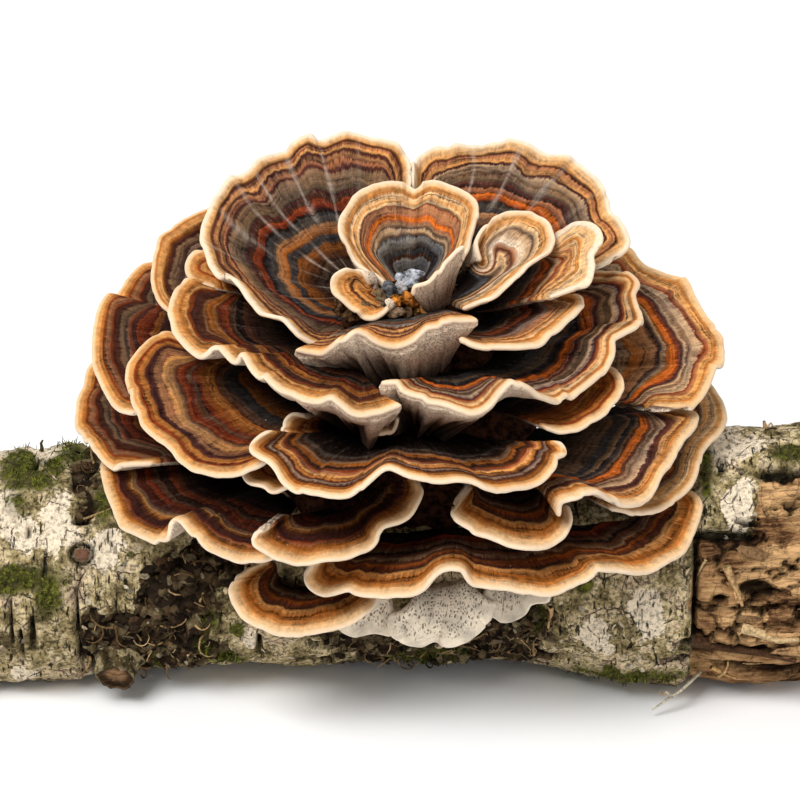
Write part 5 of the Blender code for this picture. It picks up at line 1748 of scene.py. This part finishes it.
@dataclass(frozen=True)
class FleshFinish:
    """Fused flesh in the rosette's heart: blotched with painted shade that stands for its folds, with knobs in colours
    of their own.
    """

    def material(self) -> bpy.types.Material:
        """Builds the material."""
        graph = Graph("fused_flesh")
        place = graph.place()
        tint = graph.node("ShaderNodeAttribute", {"attribute_name": "tint"}, {}, "Color")
        coarse = graph.noise(place, 620, 4, 0.7)
        fine = graph.noise(place, 2300, 3, 0.7)
        # Painted shade: dark blotches from noise stand for the shade in the folds.
        shade = coarse.between(0.36, 0.64).scaled(0.08, 1.5) * fine.scaled(0.3, 1.7)
        graph.finish(graph.lit(tint, shade), 0.9, fine * 0.5 + coarse * 0.5, 0.5 * MM)
        return graph.material


@dataclass(frozen=True)
class Knob:
    """A lump of flesh: where the viewer sees its middle, its half sizes in millimetres, and its colour."""

    at: Pixel
    size: tuple[float, float, float]
    colour: Colour

    def build(self) -> bpy.types.Object:
        """Makes the lump."""
        deselect()
        bpy.ops.mesh.primitive_ico_sphere_add(subdivisions=4, radius=1)
        piece = bpy.context.object
        flat = np.zeros(len(piece.data.vertices) * 3)
        piece.data.vertices.foreach_get("co", flat)
        ball = flat.reshape(-1, 3)
        middle = seen(*self.at) / MM
        place = ball * np.array(self.size)
        where = place + middle
        bulge = layered(*(where / 1.3).T, octaves=3, seed=7) * 0.42
        place = (middle + place * (1 + bulge)[:, None]) * MM + np.array((0, BRANCH_AXIS_BEHIND_MIDDLE, 0))
        piece.data.vertices.foreach_set("co", place.ravel())
        tint(piece, self.colour)
        return piece


def tint(piece: bpy.types.Object, colour: Colour) -> None:
    """Gives all of a piece one colour as its attribute."""
    layer = piece.data.color_attributes.new(name="tint", type="FLOAT_COLOR", domain="POINT")
    layer.data.foreach_set("color", np.tile((*colour, 1.0), len(piece.data.vertices)))


@dataclass
class Foot:
    """The mass of fused roots that all the caps fan out from."""

    segments: int = 150
    rings: int = 90
    fullness: float = 0.6
    knobs: list[Knob] = field(default_factory=lambda: [
        Knob((411, 280, 4), (2.1, 1.5, 1.9), (0.36, 0.38, 0.42)),
        Knob((400, 286, 5), (1.3, 1.2, 1.3), (0.34, 0.33, 0.33)),
        Knob((390, 291, 6), (1.7, 1.4, 1.9), (0.10, 0.10, 0.105)),
        Knob((381, 297, 7), (1.3, 1.3, 1.5), (0.13, 0.09, 0.05)),
        Knob((385, 305, 8), (1.6, 1.3, 1.2), (0.07, 0.06, 0.05)),
        Knob((398, 300, 8), (1.5, 1.2, 1.1), (0.55, 0.20, 0.03)),
        Knob((408, 299, 8), (1.5, 1.2, 1.3), (0.50, 0.17, 0.03)),
        Knob((413, 305, 7), (1.2, 1.2, 1.0), (0.30, 0.12, 0.03)),
        Knob((421, 311, 7), (1.7, 1.2, 1.1), (0.42, 0.19, 0.05)),
        Knob((430, 306, 5), (1.3, 1.4, 1.6), (0.28, 0.13, 0.04)),
        Knob((352, 315, 8), (2.0, 1.4, 1.2), (0.09, 0.045, 0.02)),
        Knob((363, 309, 9), (1.5, 1.2, 1.3), (0.15, 0.09, 0.045)),
        Knob((372, 313, 9), (1.7, 1.3, 1.1), (0.08, 0.06, 0.045)),
        Knob((342, 305, 6), (1.8, 1.5, 2.0), (0.14, 0.075, 0.035)),
        Knob((393, 312, 9), (1.9, 1.3, 1.0), (0.20, 0.13, 0.08)),
        Knob((406, 312, 8), (1.6, 1.2, 1.0), (0.09, 0.05, 0.025)),
        Knob((438, 305, 3), (1.8, 1.8, 2.2), (0.10, 0.06, 0.03)),
        # Four large near-black knobs that fill the gap between the middle caps with painted shade.
        Knob((486, 316, -4), (4.4, 3.0, 3.0), (0.02, 0.011, 0.007)),
        Knob((502, 318, -6), (5.0, 3.0, 3.4), (0.016, 0.009, 0.006)),
        Knob((520, 312, -8), (4.4, 3.0, 3.0), (0.016, 0.009, 0.006)),
        Knob((468, 322, -2), (3.6, 3.0, 3.0), (0.02, 0.011, 0.007)),
    ])

    def build(self) -> bpy.types.Object:
        """Makes the foot, lumpy and wrinkled all over, with its knobs."""
        knobs = [knob.build() for knob in self.knobs]
        deselect()
        bpy.ops.mesh.primitive_uv_sphere_add(segments=self.segments, ring_count=self.rings, radius=1)
        piece = bpy.context.object
        piece.name = "look_rosette_foot"
        flat = np.zeros(len(piece.data.vertices) * 3)
        piece.data.vertices.foreach_get("co", flat)
        ball = flat.reshape(-1, 3)
        low, high = FOOT_LEVELS[0, 0], FOOT_LEVELS[-1, 0]
        height = low + (high - low) * (ball[:, 2] + 1) / 2
        half_width, forward, back, middle = [np.interp(height, FOOT_LEVELS[:, 0], FOOT_LEVELS[:, i]) for i in (1, 2, 3, 4)]
        around = np.hypot(ball[:, 0], ball[:, 1])
        shrink = np.where(around < 0.04, 1, np.maximum(around, 1e-6) ** -self.fullness)
        across = middle + ball[:, 0] * shrink * half_width
        depth = (forward + back) / 2 - ball[:, 1] * shrink * (forward - back) / 2
        lumps = layered(across / 5, depth / 5, height / 5, octaves=3, seed=90) * 1.3
        pleats = rough(across / 1.1, depth / 1.1, height / 9, seed=95) * 0.25
        place = np.stack([across, -depth, height], -1) + ball * (lumps + pleats)[:, None]
        place = place * MM + np.array((0, BRANCH_AXIS_BEHIND_MIDDLE, BRANCH_AXIS_HEIGHT))
        piece.data.vertices.foreach_set("co", place.ravel())
        tint(piece, UMBER)
        deselect()
        for knob in knobs:
            knob.select_set(True)
        piece.select_set(True)
        bpy.context.view_layer.objects.active = piece
        bpy.ops.object.join()
        bpy.ops.object.shade_smooth()
        return piece


# The studio

@dataclass
class Studio:
    """Floor, lights and camera."""

    floor_size: float = 6.0

    def floor(self) -> None:
        """A plain pale floor."""
        deselect()
        bpy.ops.mesh.primitive_plane_add(size=self.floor_size)
        floor = bpy.context.object
        floor.name = "studio_floor"
        graph = Graph("studio_floor")
        graph.shader.inputs["Base Color"].default_value = (0.93, 0.93, 0.93, 1)
        graph.shader.inputs["Roughness"].default_value = 0.9
        floor.data.materials.append(graph.material)

    def lamp(self, name: str, place: tuple[float, float, float], size: float, power: float) -> None:
        """A soft square lamp that looks at the rosette."""
        deselect()
        bpy.ops.object.light_add(type="AREA", location=place)
        lamp = bpy.context.object
        lamp.name = name
        lamp.data.size = size
        lamp.data.energy = power
        aim = Vector((0, 0, 0.05)) - Vector(place)
        lamp.rotation_euler = aim.to_track_quat("-Z", "Y").to_euler()

    def camera(self) -> None:
        """The photograph's viewpoint."""
        towards = Vector((0, -math.cos(VIEW_ELEVATION), math.sin(VIEW_ELEVATION)))
        target = Vector(VIEW_TARGET) + Vector((0, BRANCH_AXIS_BEHIND_MIDDLE, 0))
        bpy.ops.object.camera_add(location=target + towards * VIEW_DISTANCE)
        camera = bpy.context.object
        camera.rotation_euler = towards.to_track_quat("Z", "Y").to_euler()
        camera.data.sensor_width = SENSOR_WIDTH
        camera.data.lens = SENSOR_WIDTH * VIEW_DISTANCE / FRAME_WIDTH
        camera.data.clip_start = 0.01
        bpy.context.scene.camera = camera

    def build(self) -> None:
        """Sets up the studio."""
        self.floor()
        self.lamp("key", (-0.35, -0.45, 0.95), 0.5, 12)
        self.lamp("fill", (0.7, -0.5, 0.5), 0.8, 2)
        self.lamp("back", (0.1, 0.8, 0.8), 0.8, 4)
        world = bpy.data.worlds.new("studio")
        world.use_nodes = True
        world.node_tree.nodes["Background"].inputs["Color"].default_value = (1, 1, 1, 1)
        world.node_tree.nodes["Background"].inputs["Strength"].default_value = 0.3
        bpy.context.scene.world = world
        bpy.context.scene.view_settings.view_transform = "Standard"
        self.camera()


def main() -> None:
    """Builds the studio and the fungus on its branch."""
    logging.basicConfig(level=logging.INFO, format="%(message)s")
    Studio().build()
    branch = BirchBranch()
    bark = branch.build()
    finish = BarkFinish().material()
    hand_in(bark, finish, "birch", "birch_branch")
    for stub in STUBS:
        hand_in(stub.build(), finish, "birch")
    ForestFloor(branch, bark).build()
    hand_in(Foot().build(), FleshFinish().material(), "fused_flesh", "rosette_foot")
    Rosette().build()


if __name__ == "__main__":
    main()
